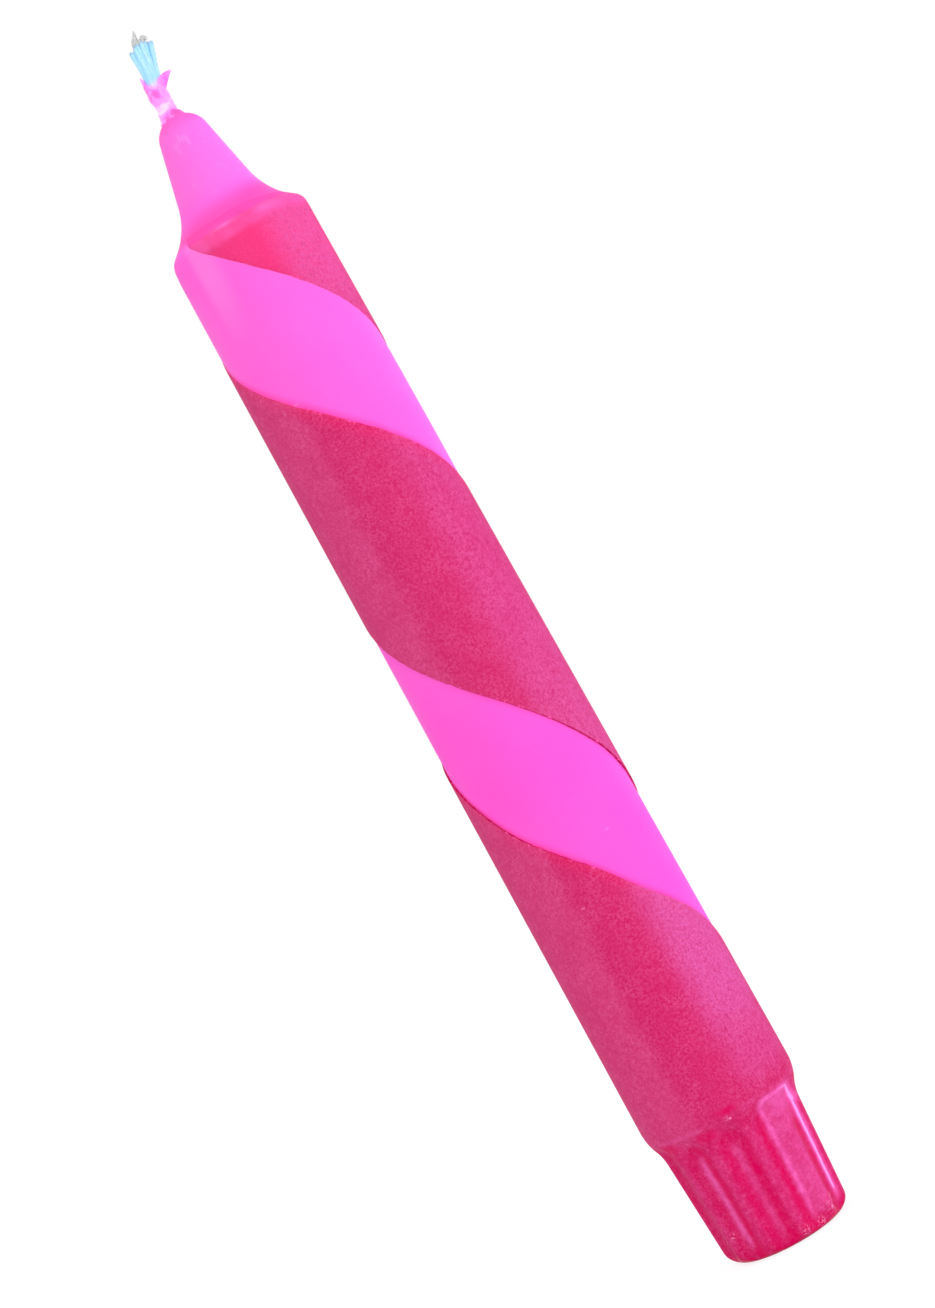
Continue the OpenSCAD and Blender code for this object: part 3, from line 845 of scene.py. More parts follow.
def film_grid(wick):
    """The film of wax: a lumpy cup from inside the dome up to a torn rim, and down again inside.

    Rows run from the bottom's middle up the outside, over the rim and down the inside to its floor. The
    table gives the cup's middle and radius over the height, and waves round it and along it add lumps.
    """
    turn = np.arange(FILM_COLUMNS) * CIRCLE / FILM_COLUMNS - math.pi
    form_z, form_x, form_r = np.array(FILM_FORM).T
    rim = through(np.degrees(turn), *np.array(FILM_RIM).T)
    rim = rim + RIM_WAVE_H * sum(np.cos(count * turn + phase) for count, phase in RIM_WAVES)
    share = np.linspace(0, 1, FILM_ROWS)[:, None]
    outer_z = form_z[0] + share * (rim - form_z[0])
    outer_r = through(outer_z, form_z, form_r) - RIM_THIN * ease(share, RIM_THIN_START, 1)
    for tall, count, size, seed in FILM_LUMPS:
        outer_r = outer_r + tall * lumps(np.broadcast_to(count * turn, outer_z.shape), outer_z, size, seed)
    inside = np.linspace(0, 1, FILM_INNER_ROWS)[1:, None]
    inner_z = rim - inside * (rim - wick.film_floor / MM)
    inner_r = outer_r[-1] - wick.film_wall / MM * np.sqrt(inside)
    closed = np.zeros((1, FILM_COLUMNS))
    radius = np.concatenate([closed, outer_r, inner_r, closed])
    height = np.concatenate([outer_z[:1], outer_z, inner_z, inner_z[-1:]])
    points = turned(radius, turn, height)
    points[..., 0] += through(height, form_z, form_x)
    tone = sum(depth * spot(turn, height, radius, at, patch_z, reach)
               for at, patch_z, reach, depth in FILM_PATCHES)
    return Grid(points * MM + np.array(PIVOT), close_columns=True, tone=np.clip(tone, -1, 1))


def curve_through(start, pull, end, share):
    """Quadratic curve from start to end, drawn towards its pull, at shares from 0 to 1."""
    s = share[:, None]
    return (1 - s) ** 2 * np.array(start) + 2 * s * (1 - s) * np.array(pull) + s**2 * np.array(end)


def capped(points, first, last):
    """Rows of points, closed at each end by a row that is one point."""
    row = (1, *points.shape[1:])
    return np.concatenate([np.broadcast_to(first, row), points, np.broadcast_to(last, row)])


def flake_grid():
    """The flake torn off the film: flat oval sections from its lower to its upper edge, out to a tip."""
    share = np.linspace(0, 1, FLAKE_ROWS)
    lower, upper = (curve_through(*(np.array(e) * MM), share) for e in (FLAKE_LOWER, FLAKE_UPPER))
    middle, half = (lower + upper) / 2 + np.array(PIVOT), (upper - lower) / 2
    around = np.arange(FLAKE_SIDES) * CIRCLE / FLAKE_SIDES
    wall = FLAKE_WALL / 2 * np.sqrt(1 - 0.8 * share)[:, None]
    section = half[:, None, :] * np.cos(around)[:, None]
    section = section + DEPTH_AXIS * (wall * np.sin(around))[..., None]
    curl = FLAKE_CURL * np.sin(CIRCLE * share * 0.7)
    points = middle[:, None, :] + section + DEPTH_AXIS * curl[:, None, None]
    tone = FLAKE_TONE * np.sin(np.linspace(0, 3, FLAKE_ROWS + 2))[:, None]
    return Grid(capped(points, middle[0], middle[-1]), close_columns=True, tone=tone)


def strand_grid(path, radius, sides, first=0.0):
    """A round strand along a path with a radius at each point and closed ends.

    Sections lie square to the path, spanned by the level direction across it and their cross product.
    The value along runs from first to 1 at the tip.
    """
    tangent = np.gradient(path, axis=0)
    tangent = tangent / np.linalg.norm(tangent, axis=1)[:, None]
    across = np.cross(DEPTH_AXIS, tangent)
    across = across / np.linalg.norm(across, axis=1)[:, None]
    depth = np.cross(tangent, across)
    around = np.arange(sides)[:, None] * CIRCLE / sides
    section = across[:, None, :] * np.cos(around) + depth[:, None, :] * np.sin(around)
    points = path[:, None, :] + np.broadcast_to(radius, (len(path), sides))[..., None] * section
    along = np.concatenate([[first], np.linspace(first, 1, len(path)), [1]])[:, None]
    return Grid(capped(points, path[0], path[-1]), close_columns=True, along=along)


# Yarns of each opened strand: foot across and in depth, tip across and in depth, height of the tip
YARNS = {
    "yarns_left": ((-0.55, -0.40, -0.66, -0.55, 9.95), (-0.38, 0.35, -0.28, 0.45, 10.0),
                   (-0.22, -0.66, 0.16, -0.72, 10.35)),
    "yarns_middle": ((0.10, -0.62, 0.62, -0.62, 10.6), (0.22, 0.30, 1.02, 0.42, 10.75),
                     (0.42, -0.66, 1.42, -0.70, 10.65)),
    "yarns_right": ((0.62, -0.46, 1.85, -0.50, 10.5), (0.66, 0.22, 2.28, 0.34, 10.3),
                    (0.82, -0.36, 2.76, -0.44, 10.05)),
}
# Heights where a yarn starts and where it begins to fan out, and the power of its curve
YARN_START = 0.6
YARN_BEND = 2.6
YARN_CURVE = 1.3
YARN_ROWS = 44
YARN_SIDES = 18
# Plies of a yarn: their number, depth of the lobes and turns of the lay, and the depth of wear along it
PLIES = 3
PLY_DEPTH = 0.10
PLY_TURNS = 1.2
YARN_WEAR = 0.06
# Fibre ends at a yarn's tip: number, sides, rows, radius, spread of the roots and ends, and length
HAIRS_EACH = 9
HAIR_SIDES = 5
HAIR_ROWS = 6
HAIR_R = 0.05 * MM
HAIR_ROOTS = 0.26
HAIR_ENDS = 0.14
HAIR_LENGTH = (0.3, 0.7)


def yarn_grids(wick, yarns, seed):
    """The yarns of one opened strand, each of three soft plies laid together, with fibre ends at its tip.

    A yarn runs upright in the film and then fans out. Its section is a circle with three shallow lobes
    that turn slowly along it, and its tip is a quarter round.
    """
    rng = np.random.default_rng(seed)
    share = np.linspace(0, 1, YARN_ROWS)
    around = np.arange(YARN_SIDES) * CIRCLE / YARN_SIDES
    lay = around + PLY_TURNS * share[:, None] * CIRCLE / PLIES
    end = np.sqrt(np.clip(1 - ((share - 0.95) / 0.055).clip(0) ** 2, 0.02, 1))[:, None]
    thin = np.linspace(1, 0.3, HAIR_ROWS)[:, None]
    grids = []
    for foot_x, foot_y, tip_x, tip_y, tip_z in yarns:
        height = YARN_START + share * (tip_z - YARN_START)
        lean = np.clip((height - YARN_BEND) / (tip_z - YARN_BEND), 0, 1) ** YARN_CURVE
        path = [foot_x + (tip_x - foot_x) * lean, foot_y + (tip_y - foot_y) * lean, height]
        path = np.stack(path, axis=1) * MM + np.array(PIVOT)
        lobes = 1 + PLY_DEPTH * np.cos(PLIES * lay + foot_x * 9)
        worn = 1 + YARN_WEAR * np.sin(9 * share + foot_y * 20)[:, None]
        grids.append(strand_grid(path, wick.yarn_d / 2 * lobes * worn * end, YARN_SIDES))
        aim = (path[-1] - path[-8]) / np.linalg.norm(path[-1] - path[-8])
        for _ in range(HAIRS_EACH):
            root = path[-4] + rng.uniform(-HAIR_ROOTS, HAIR_ROOTS, 3) * MM * np.array([1, 1, 0.4])
            tip = root + aim * rng.uniform(*HAIR_LENGTH) * MM
            tip = tip + rng.uniform(-HAIR_ENDS, HAIR_ENDS, 3) * MM
            hair = root + np.linspace(0, 1, HAIR_ROWS)[:, None] * (tip - root)
            grids.append(strand_grid(hair, HAIR_R * thin, HAIR_SIDES, first=0.9))
    return grids


# Tufts of loose fibres at the tip: root, pull and end across and upwards, and the spread of the ends
TUFTS = (((0.95, 10.3), (0.55, 11.7), (1.22, 12.75), 0.15), ((1.5, 10.3), (1.45, 11.9), (2.2, 11.3), 0.75))
# Fibres of a tuft: number, sides and rows of each, spread across and in depth, and most that one falls short
FIBRES_EACH = 50
FIBRE_SIDES = 6
FIBRE_ROWS = 12
FIBRE_SPREAD = (0.3, 0.26)
FIBRE_SHORT = 0.3


def fibre_grids(wick):
    """Fine tapered fibres in two tufts: an upright spike and a curled tuft to the right of it."""
    rng = np.random.default_rng(31)
    radius = wick.fibre_d / 2 * np.linspace(1, 0.25, FIBRE_ROWS)[:, None]
    share = np.linspace(0, 1, FIBRE_ROWS)
    grids = []
    for *line, gather in TUFTS:
        for _ in range(FIBRES_EACH):
            aside, deep = (rng.normal(0, spread) for spread in FIBRE_SPREAD)
            short = rng.uniform(0, FIBRE_SHORT)
            points = [(x + aside * k, deep * k, z - 0.3 * abs(aside) - short * i)
                      for i, ((x, z), k) in enumerate(zip(line, (1.0, 0.9, gather)))]
            path = curve_through(*(np.array(p) * MM for p in points), share) + np.array(PIVOT)
            grids.append(strand_grid(path, radius, FIBRE_SIDES))
    return grids


# Materials


class Nodes:
    """A node tree, with short calls for the nodes that the finishes are made of."""

    def __init__(self, tree):
        self.tree = tree

    def put(self, kind, inputs=None, **options):
        """A new node. An input takes a value, or the output socket of another node."""
        node = self.tree.nodes.new(kind)
        for name, value in options.items():
            setattr(node, name, value)
        for name, value in (inputs or {}).items():
            if isinstance(value, bpy.types.NodeSocket):
                self.tree.links.new(value, node.inputs[name])
            else:
                node.inputs[name].default_value = value
        return node

    def maths(self, operation, first, *others):
        """Values joined one after the other by an operation on two."""
        for other in others:
            first = self.put("ShaderNodeMath", {0: first, 1: other}, operation=operation).outputs[0]
        return first

    def product(self, *values):
        """Values multiplied together."""
        return self.maths("MULTIPLY", *values)

    def most(self, *values):
        """The largest of some values."""
        return self.maths("MAXIMUM", *values)

    def vectors(self, operation, first, second):
        """Two vectors joined to a vector, or to a value by an operation that measures."""
        outputs = self.put("ShaderNodeVectorMath", {0: first, 1: second}, operation=operation).outputs
        return outputs["Value" if operation in ("DOT_PRODUCT", "DISTANCE") else "Vector"]

    def between(self, share, first, second):
        """Value that goes from the first to the second with a share."""
        return self.put("ShaderNodeMix", {0: share, 2: first, 3: second}).outputs[0]

    def ramp(self, value, low, high, to_low=0.0, to_high=1.0):
        """Smooth step of a value between two limits, from to_low to to_high."""
        limits = {0: value, 1: low, 2: high, 3: to_low, 4: to_high}
        return self.put("ShaderNodeMapRange", limits, interpolation_type="SMOOTHSTEP").outputs[0]

    def noise(self, place, scale, detail=2.0, roughness=0.5):
        """Noise from 0 to 1 with so many cells in a metre."""
        inputs = {"Vector": place, "Scale": scale, "Detail": detail, "Roughness": roughness}
        return self.put("ShaderNodeTexNoise", inputs).outputs["Fac"]

    def drawn(self, place, squeeze):
        """A place whose Z is scaled, which draws a pattern out along the axis, or flattens it."""
        return self.put("ShaderNodeMapping", {"Vector": place, "Scale": (1, 1, squeeze)}).outputs[0]

    def own_value(self, name):
        """A named value of the mesh."""
        return self.put("ShaderNodeAttribute", attribute_name=name).outputs["Fac"]

    def own_place(self):
        """Object coordinates as a vector, and its three parts."""
        place = self.put("ShaderNodeTexCoord").outputs["Object"]
        return place, *self.put("ShaderNodeSeparateXYZ", {0: place}).outputs

    def rest_place(self):
        """The place at rest as a vector, and its three parts."""
        place = self.put("ShaderNodeAttribute", attribute_name="rest").outputs["Vector"]
        return place, *self.put("ShaderNodeSeparateXYZ", {0: place}).outputs

    def shared(self, build, **values):
        """Places a group, which is built once and then shared, and gives its outputs."""
        group = bpy.data.node_groups.get(build.__name__) or build()
        return self.put("ShaderNodeGroup", values, node_tree=group).outputs


class Group(Nodes):
    """A shader node group with named inputs and outputs. An input without a value is a vector."""

    def __init__(self, name, **inputs):
        super().__init__(bpy.data.node_groups.new(name, "ShaderNodeTree"))
        for socket, default in inputs.items():
            kind = "NodeSocketVector" if default is None else "NodeSocketFloat"
            made = self.tree.interface.new_socket(socket, in_out="INPUT", socket_type=kind)
            if default is not None:
                made.default_value = default
        self.given = self.put("NodeGroupInput").outputs

    def give(self, **outputs):
        """Makes the outputs, and returns the finished group."""
        for socket in outputs:
            self.tree.interface.new_socket(socket, in_out="OUTPUT", socket_type="NodeSocketFloat")
        self.put("NodeGroupOutput", outputs)
        return self.tree


class Finish(Nodes):
    """A material with one Principled shader, whose base colour is laid on in layers.

    Plain values are set on the shader's own sockets.
    """

    def __init__(self, name, tint, **plain):
        self.material = bpy.data.materials.new(name)
        self.material.use_nodes = True
        super().__init__(self.material.node_tree)
        self.shader = self.tree.nodes["Principled BSDF"]
        self.base = (*tint, 1)
        self.shader.inputs["Base Color"].default_value = self.base
        for socket, value in plain.items():
            self.shader.inputs[socket.replace("_", " ")].default_value = value

    def lay(self, share, tint):
        """Lays a colour over the base colour with a share."""
        layers = {0: share, 6: self.base, 7: (*tint, 1)}
        self.base = self.put("ShaderNodeMix", layers, data_type="RGBA").outputs[2]

    def feed(self, socket, value):
        """Links a value to a socket of the shader."""
        self.tree.links.new(value, self.shader.inputs[socket])

    def finished(self, height, strength, depth, glows=False):
        """The material, with its base colour and a bump linked. Where it glows, that colour glows."""
        bump = self.put("ShaderNodeBump", {"Height": height, "Strength": strength, "Distance": depth})
        self.feed("Normal", bump.outputs[0])
        self.feed("Base Color", self.base)
        if glows:
            self.feed("Emission Color", self.base)
        return self.material


# Specks: wobble of their outline in metres, and how much flatter than wide they are
SPECK_WOBBLE = 0.0006
SPECK_FLATNESS = 2.5
# Scale along the strand of cotton's streaks, against across it
STREAK_SQUEEZE = 0.08


def wax_grain():
    """Waxy grain on Object coordinates: broad clouds, a fine mottle and a height for bump."""
    group = Group("wax_grain", Clouds=60.0, Mottle=900.0)
    place, *_ = group.own_place()
    clouds = group.noise(place, group.given["Clouds"], 3, 0.55)
    mottle = group.noise(place, group.given["Mottle"], 3, 0.65)
    fine = group.noise(place, group.product(group.given["Mottle"], 2.7), 2, 0.5)
    both = group.maths("ADD", group.product(fine, 0.6), mottle)
    return group.give(Clouds=group.ramp(clouds, 0.34, 0.66), Mottle=group.ramp(both, 0.66, 0.94), Height=both)


def wax_specks():
    """Sparse flat specks on Object coordinates: the middles of those cells whose random number is low."""
    group = Group("wax_specks", Spacing=300.0, Size=0.2, Share=0.2)
    place, *_ = group.own_place()
    wobble = group.put("ShaderNodeTexNoise", {"Vector": place, "Scale": 1500.0}).outputs["Color"]
    wobble = group.vectors("MULTIPLY", wobble, (SPECK_WOBBLE, SPECK_WOBBLE, SPECK_WOBBLE))
    flat = group.drawn(group.vectors("ADD", place, wobble), SPECK_FLATNESS)
    cells = group.put("ShaderNodeTexVoronoi", {"Vector": flat, "Scale": group.given["Spacing"]}).outputs
    dice = group.put("ShaderNodeSeparateColor", {0: cells["Color"]}).outputs
    chosen = group.maths("LESS_THAN", dice[0], group.given["Share"])
    size = group.product(group.given["Size"], group.maths("ADD", dice[1], 0.4))
    dot = group.maths("SUBTRACT", 1.0, group.maths("DIVIDE", cells["Distance"], size))
    return group.give(Mask=group.product(group.ramp(dot, 0.0, 0.6), chosen))


def cotton_streaks():
    """Fibres along Z: noise squeezed across and drawn out along the strand."""
    group = Group("cotton_streaks", Place=None, Across=5000.0)
    along = group.drawn(group.given["Place"], STREAK_SQUEEZE)
    wide = group.noise(along, group.given["Across"], 2, 0.5)
    fine = group.noise(along, group.product(group.given["Across"], 2.6), 2, 0.5)
    return group.give(Light=group.ramp(wide, 0.5, 0.72), Dark=group.ramp(fine, 0.42, 0.26),
                      Height=group.maths("ADD", wide, fine))


# Strength of the glow that stands for light scattered in bright wax and cotton
GLOW = 0.12
# Heights between which the bare wax grows duller, downwards
DULL_WAX = (125 * MM, 75 * MM)
# Slope of the wash and of the shoulder's painted highlight, as rise over run
WASH_SLOPE = 0.1
HIGHLIGHT_SLOPE = 0.05
# Scuffed spot on the neck: across, depth below the dome's top, outer and inner reach, and the scale of
# its strokes along the axis
SCUFF_X = -0.8 * MM
SCUFF_DROP = 4.8 * MM
SCUFF_REACH = (2.2 * MM, 1.0 * MM)
SCUFF_SQUEEZE = 0.45
# Painted highlight in a band of the stripe on the upper left: where it comes in from each side, and the
# heights where it does
LIT_LEFT = (-8.6 * MM, -7.2 * MM)
LIT_RIGHT = (-3.2 * MM, -6.6 * MM)
LIT_HEIGHTS = (148 * MM, 162 * MM)


def neon_wax(shape, dip, colours):
    """Satin neon wax with faint clouds, scuffs on the neck, a wash above the dip line and dye at the edge.

    It is duller towards the foot, and has a painted highlight in a band of the stripe near the shoulder.
    """
    wax = Finish("neon_wax", colours.neon, IOR=1.13, Subsurface_Weight=0.25, Subsurface_Scale=2 * MM,
                 Subsurface_Radius=(1.0, 0.35, 0.8), Emission_Strength=GLOW)
    place, x, y, z = wax.own_place()
    shoulder, top, dip_z = shape.shoulder_z, shape.top_z, shape.shoulder_z + dip.dip_rise
    grain = wax.shared(wax_grain, Clouds=45.0, Mottle=700.0)
    specks = wax.shared(wax_specks, Spacing=210.0, Size=0.1, Share=0.16)["Mask"]

    duller = wax.maths("ADD", wax.product(grain["Clouds"], 0.3), wax.ramp(z, *DULL_WAX, 0.0, 0.7))
    wax.lay(duller, colours.neon_deep)
    crept = wax.ramp(wax.own_value("lower_edge"), 1.6, -0.2, 0.0, 0.85)
    wax.lay(wax.product(crept, wax.ramp(z, shoulder + 1 * MM, shoulder - 4 * MM)), colours.bleed)
    slanted = wax.vectors("DOT_PRODUCT", place, (-WASH_SLOPE, 0, 1))
    level = wax.maths("ADD", wax.product(grain["Clouds"], 0.8 * MM), slanted)
    washed = wax.ramp(level, dip_z + dip.wash_rise, dip_z + 0.4 * MM)
    wax.lay(wax.product(washed, wax.ramp(z, shoulder + 1.2 * MM, dip_z)), colours.wash)

    scuff = wax.ramp(wax.noise(place, 700.0, 4, 0.65), 0.56, 0.78, 0.25, 0.55)
    scuff = wax.product(scuff, wax.ramp(z, shoulder + 5 * MM, shoulder + 9 * MM))
    spot_z = top - SCUFF_DROP
    from_spot = wax.vectors("DISTANCE", place, (SCUFF_X, -float(shape.radius_at(spot_z, 0)), spot_z))
    strokes = wax.noise(wax.drawn(place, SCUFF_SQUEEZE), 900.0, 2, 0.5)
    strokes = wax.product(wax.ramp(strokes, 0.5, 0.62, 0.0, 0.6), wax.ramp(from_spot, *SCUFF_REACH))
    scuff = wax.most(scuff, strokes)
    # Painted highlight: a band of the stripe near the shoulder is laid pale
    lit = wax.product(wax.ramp(x, *LIT_LEFT), wax.ramp(x, *LIT_RIGHT), wax.ramp(z, *LIT_HEIGHTS, 0.0, 0.45),
                      wax.ramp(z, shoulder + 2.5 * MM, shoulder + 1 * MM), wax.maths("LESS_THAN", y, 0.0))
    wax.lay(wax.most(scuff, wax.product(specks, 0.35), lit), colours.neon_pale)
    wax.lay(wax.ramp(z, top - 3.4 * MM, top - 0.6 * MM, 0.0, 0.6), colours.wash)

    wax.feed("Roughness", wax.ramp(grain["Clouds"], 0, 1, 0.42, 0.52))
    return wax.finished(wax.maths("ADD", grain["Height"], scuff), 0.06, 0.1 * MM, glows=True)


# Heights from the shoulder's start between which the dyed skin grows thin, upwards
THIN_SKIN = (-26 * MM, -2 * MM)
# Heights above the foot between which the foot's own finish begins, downwards
FOOT_FINISH = (5 * MM, 1 * MM)
# Heights between which the body takes on some of the foot's colour, downwards
LOW_TINT = (80 * MM, 40 * MM)
# Places across between which each side's coarser grain and painted sheen come in
RIGHT_SIDE = (2.5 * MM, 7.5 * MM)
LEFT_SIDE = (-2.5 * MM, -6.5 * MM)
# Painted pale sheen on the right: heights where it grows downwards and where it grows towards the shoulder
SHEEN_LOW = (115 * MM, 45 * MM)
SHEEN_HIGH = (130 * MM, 155 * MM)
# Where that painted sheen comes in, across and in depth, and the heights above the foot where it fades and
# ends
SHEEN_ACROSS = (1.5 * MM, 7 * MM)
SHEEN_DEPTH = (2 * MM, -6 * MM)
SHEEN_FADE = (11 * MM, 20 * MM)
SHEEN_END = (4 * MM, 9 * MM)
# Weaker painted sheen on the left: where it comes in, across
LEFT_SHEEN_ACROSS = (-3.5 * MM, -6 * MM)
# Shoulder's corner with its painted highlight: its height above the shoulder's start, and from there where
# that highlight and the fade come in
CORNER_RISE = 0.45 * MM
HIGHLIGHT_START = (-1.5 * MM, -0.1 * MM)
FADE_START = (1.1 * MM, 1.7 * MM)


class DyedSkin(Finish):
    """Matte mottled dye on the body with painted sheen and highlights, and dye in pools with painted shade in
    the flutes.
    """

    def __init__(self, shape, colours):
        super().__init__("raspberry_dip", colours.raspberry, IOR=1.09, Specular_Tint=(0.85, 0.35, 1, 1))
        self.shape, self.colours = shape, colours
        self.place, self.x, self.y, self.z = self.own_place()
        self.from_shoulder = self.maths("SUBTRACT", self.z, shape.shoulder_z)
        self.from_foot = self.maths("SUBTRACT", self.z, shape.form.foot_h)
        self.grain = self.shared(wax_grain, Clouds=70.0, Mottle=2800.0)
        self.broken = self.noise(self.place, 260.0, 3, 0.6)
        self.coarse = self.noise(self.place, 1250.0, 3, 0.65)
        self.under, self.over = self.own_value("under_stripe"), self.own_value("over_stripe")
        self.pooled, self.gleam = self.own_value("pooled"), self.own_value("gleam")
        self.thin = self.ramp(self.from_shoulder, *THIN_SKIN)
        self.on_foot = self.ramp(self.from_foot, *FOOT_FINISH)
        # Both sides of the body, where the grain carries a painted sheen
        self.limb = self.most(self.ramp(self.x, *RIGHT_SIDE), self.ramp(self.x, *LEFT_SIDE))

    def dye_body(self):
        """The dye itself: deep on the foot, light where it is thin, fresh under the stripe, mottled, and
        paler on the sides as painted sheen.
        """
        colours, mottle = self.colours, self.grain["Mottle"]
        self.lay(self.most(self.on_foot, self.ramp(self.z, *LOW_TINT, 0.0, 0.4)), colours.raspberry_foot)
        self.lay(self.thin, colours.raspberry_thin)
        self.lay(self.ramp(self.under, 2.4, 0.4, 0.0, 0.7), colours.raspberry_fresh)
        # Pale grain, laid a little more on the sides as painted sheen
        rubbed = self.product(mottle, self.ramp(self.broken, 0.3, 0.7, 0.2, 0.5),
                              self.ramp(self.thin, 0.0, 1.0, 1.0, 0.35),
                              self.ramp(self.on_foot, 0.0, 1.0, 1.0, 0.72),
                              self.ramp(self.limb, 0.0, 1.0, 0.82, 1.0))
        self.lay(rubbed, colours.raspberry_pale)
        dark = self.product(self.ramp(mottle, 0.45, 0.0, 0.0, 0.16), self.ramp(self.thin, 0.0, 1.0, 1.0, 0.3))
        self.lay(dark, colours.raspberry_edge)

    def veil_sides(self):
        """Painted sheen: pale on the right, weaker on the left, and in coarser grain on both sides; the
        foot's grain is coarser too.
        """
        colours = self.colours
        # Painted sheen on the right, grained
        right_sheen = self.product(self.most(self.ramp(self.z, *SHEEN_LOW, 0.2, 0.64),
                                      self.ramp(self.z, *SHEEN_HIGH, 0.0, 0.48)),
                            self.ramp(self.x, *SHEEN_ACROSS), self.ramp(self.y, *SHEEN_DEPTH),
                            self.ramp(self.from_foot, *SHEEN_FADE, 0.45, 1.0),
                            self.ramp(self.from_foot, *SHEEN_END),
                            self.ramp(self.grain["Mottle"], 0.0, 1.0, 0.7, 1.35))
        self.lay(right_sheen, colours.raspberry_veil)
        # Coarser grain on the foot, and on both sides as painted sheen
        grainy = self.most(self.limb, self.on_foot)
        for low, high, tint in ((0.52, 0.7, colours.raspberry_pale), (0.48, 0.3, colours.raspberry_edge)):
            self.lay(self.product(grainy, self.ramp(self.coarse, low, high, 0.0, 0.3)), tint)
        # Weaker painted sheen on the left
        left_sheen = self.ramp(self.x, *LEFT_SHEEN_ACROSS, 0.0, 0.2)
        self.lay(self.product(left_sheen, self.ramp(self.on_foot, 0.0, 1.0, 1.0, 0.0)), colours.raspberry_pale)

    def wear_shoulder(self):
        """A painted highlight on the shoulder's corner, and the fade to the wash above it, both laid
        unevenly.
        """
        slanted = self.vectors("DOT_PRODUCT", self.place, (-HIGHLIGHT_SLOPE, 0, 1))
        level = self.maths("ADD", self.product(self.broken, 0.9 * MM), slanted)
        level = self.maths("SUBTRACT", level, self.shape.shoulder_z + CORNER_RISE)
        patchy = self.ramp(self.noise(self.place, 170.0, 3, 0.6), 0.4, 0.6, 0.55, 1.0)
        # Painted highlight on the shoulder's corner, in patches
        worn = self.product(self.ramp(level, *HIGHLIGHT_START, 0.0, 0.9), patchy)
        self.lay(worn, self.colours.raspberry_worn)
        self.lay(self.ramp(level, *FADE_START), self.colours.wash)

    def pool_and_polish(self):
        """Blotted pools of dye with painted shade, and broken painted highlights with a bright line where
        they are strongest.
        """
        # Dye in pools, darkened with painted shade
        blots = self.ramp(self.noise(self.place, 420.0, 4, 0.65), 0.36, 0.6, 0.72, 1.0)
        blotted = self.product(self.pooled, blots, self.ramp(self.coarse, 0.6, 0.35, 0.75, 1.0))
        self.lay(blotted, self.colours.raspberry_pool)
        # Painted highlights, broken by noise, with a brighter line where they are strongest
        highlighted = self.product(self.gleam, self.ramp(self.broken, 0.35, 0.6, 0.7, 1.0),
                                self.ramp(self.coarse, 0.35, 0.6, 0.8, 1.1))
        self.lay(highlighted, self.colours.gleam)
        self.lay(self.ramp(self.gleam, 0.8, 1.05, 0.0, 0.85), self.colours.gleam_bright)

    def mark_edges(self):
        """Painted shade on the wall along the cut edges, with the dye seen edge-on, pale nicks beside them,
        and crumbs and specks of wax.
        """
        colours, cut = self.colours, self.maths("MINIMUM", self.under, self.over)
        # Painted shade on the cut edges' wall, where the dye is also seen edge-on, faded towards the shoulder
        wall = self.product(self.ramp(cut, 0.08, 0.03, 0.0, 0.9), self.ramp(self.thin, 0.1, 0.8, 1.0, 0.1))
        self.lay(wall, colours.raspberry_edge)
        nicks = self.ramp(self.noise(self.place, 1300.0), 0.58, 0.68, 0.0, 0.9)
        self.lay(self.product(self.ramp(cut, 0.45, 0.15), nicks), colours.raspberry_worn)
        chips = self.ramp(self.noise(self.place, 2300.0, 3, 0.6), 0.48, 0.6, 0.0, 0.8)
        chips = self.product(self.own_value("crumb"), chips)
        specks = self.shared(wax_specks, Spacing=300.0, Size=0.09, Share=0.14)["Mask"]
        self.lay(self.most(chips, self.product(specks, 0.45)), colours.crumb)


def raspberry_dip(shape, colours):
    """The dyed skin's finish in layers, matte on the body and glossy where dye pools in the flutes."""
    skin = DyedSkin(shape, colours)
    skin.dye_body()
    skin.veil_sides()
    skin.wear_shoulder()
    skin.pool_and_polish()
    skin.mark_edges()
    matte = skin.ramp(skin.grain["Mottle"], 0, 1, 0.5, 0.62)
    gloss = skin.ramp(skin.pooled, 0.0, 0.8, 0.5, 0.28)
    skin.feed("Roughness", skin.between(skin.on_foot, matte, gloss))
    return skin.finished(skin.grain["Height"], 0.2, 0.06 * MM)


# Dyed root of the film: heights and places across, from the bend, between which the dye comes in
ROOT_DYE = (-0.1 * MM, -0.8 * MM)
ROOT_ACROSS = (-0.9 * MM, 1.1 * MM)


def wick_wax(colours):
    """Translucent film of wax, whose pale lumps and deep blotches follow the mesh's tone, broken by noise."""
    film = Finish("wick_wax", colours.film, IOR=1.4, Roughness=0.34, Subsurface_Weight=0.4,
                  Subsurface_Radius=(1.0, 0.5, 0.9), Subsurface_Scale=0.6 * MM, Emission_Strength=GLOW)
    place, x, _, z = film.rest_place()
    broken = film.product(film.maths("SUBTRACT", film.noise(place, 1500.0, 3, 0.6), 0.5), 1.5)
    tone = film.maths("ADD", broken, film.own_value("tone"))
    film.lay(film.ramp(tone, 0.05, 0.8), colours.film_deep)
    film.lay(film.ramp(tone, -0.1, -0.8), colours.film_pale)
    root = film.product(film.ramp(film.maths("SUBTRACT", z, PIVOT.z), *ROOT_DYE, 0.0, 0.75),
                        film.ramp(film.maths("SUBTRACT", x, PIVOT.x), *ROOT_ACROSS, 0.1, 1.0))
    film.lay(root, colours.wash)
    return film.finished(film.noise(place, 1800.0, 3, 0.5), 0.3, 0.12 * MM, glows=True)


# Fibres in a metre across the plait, the yarns and the loose fibres
PLAIT_FIBRES = 3000.0
YARN_FIBRES = 3600.0
LOOSE_FIBRES = 9000.0


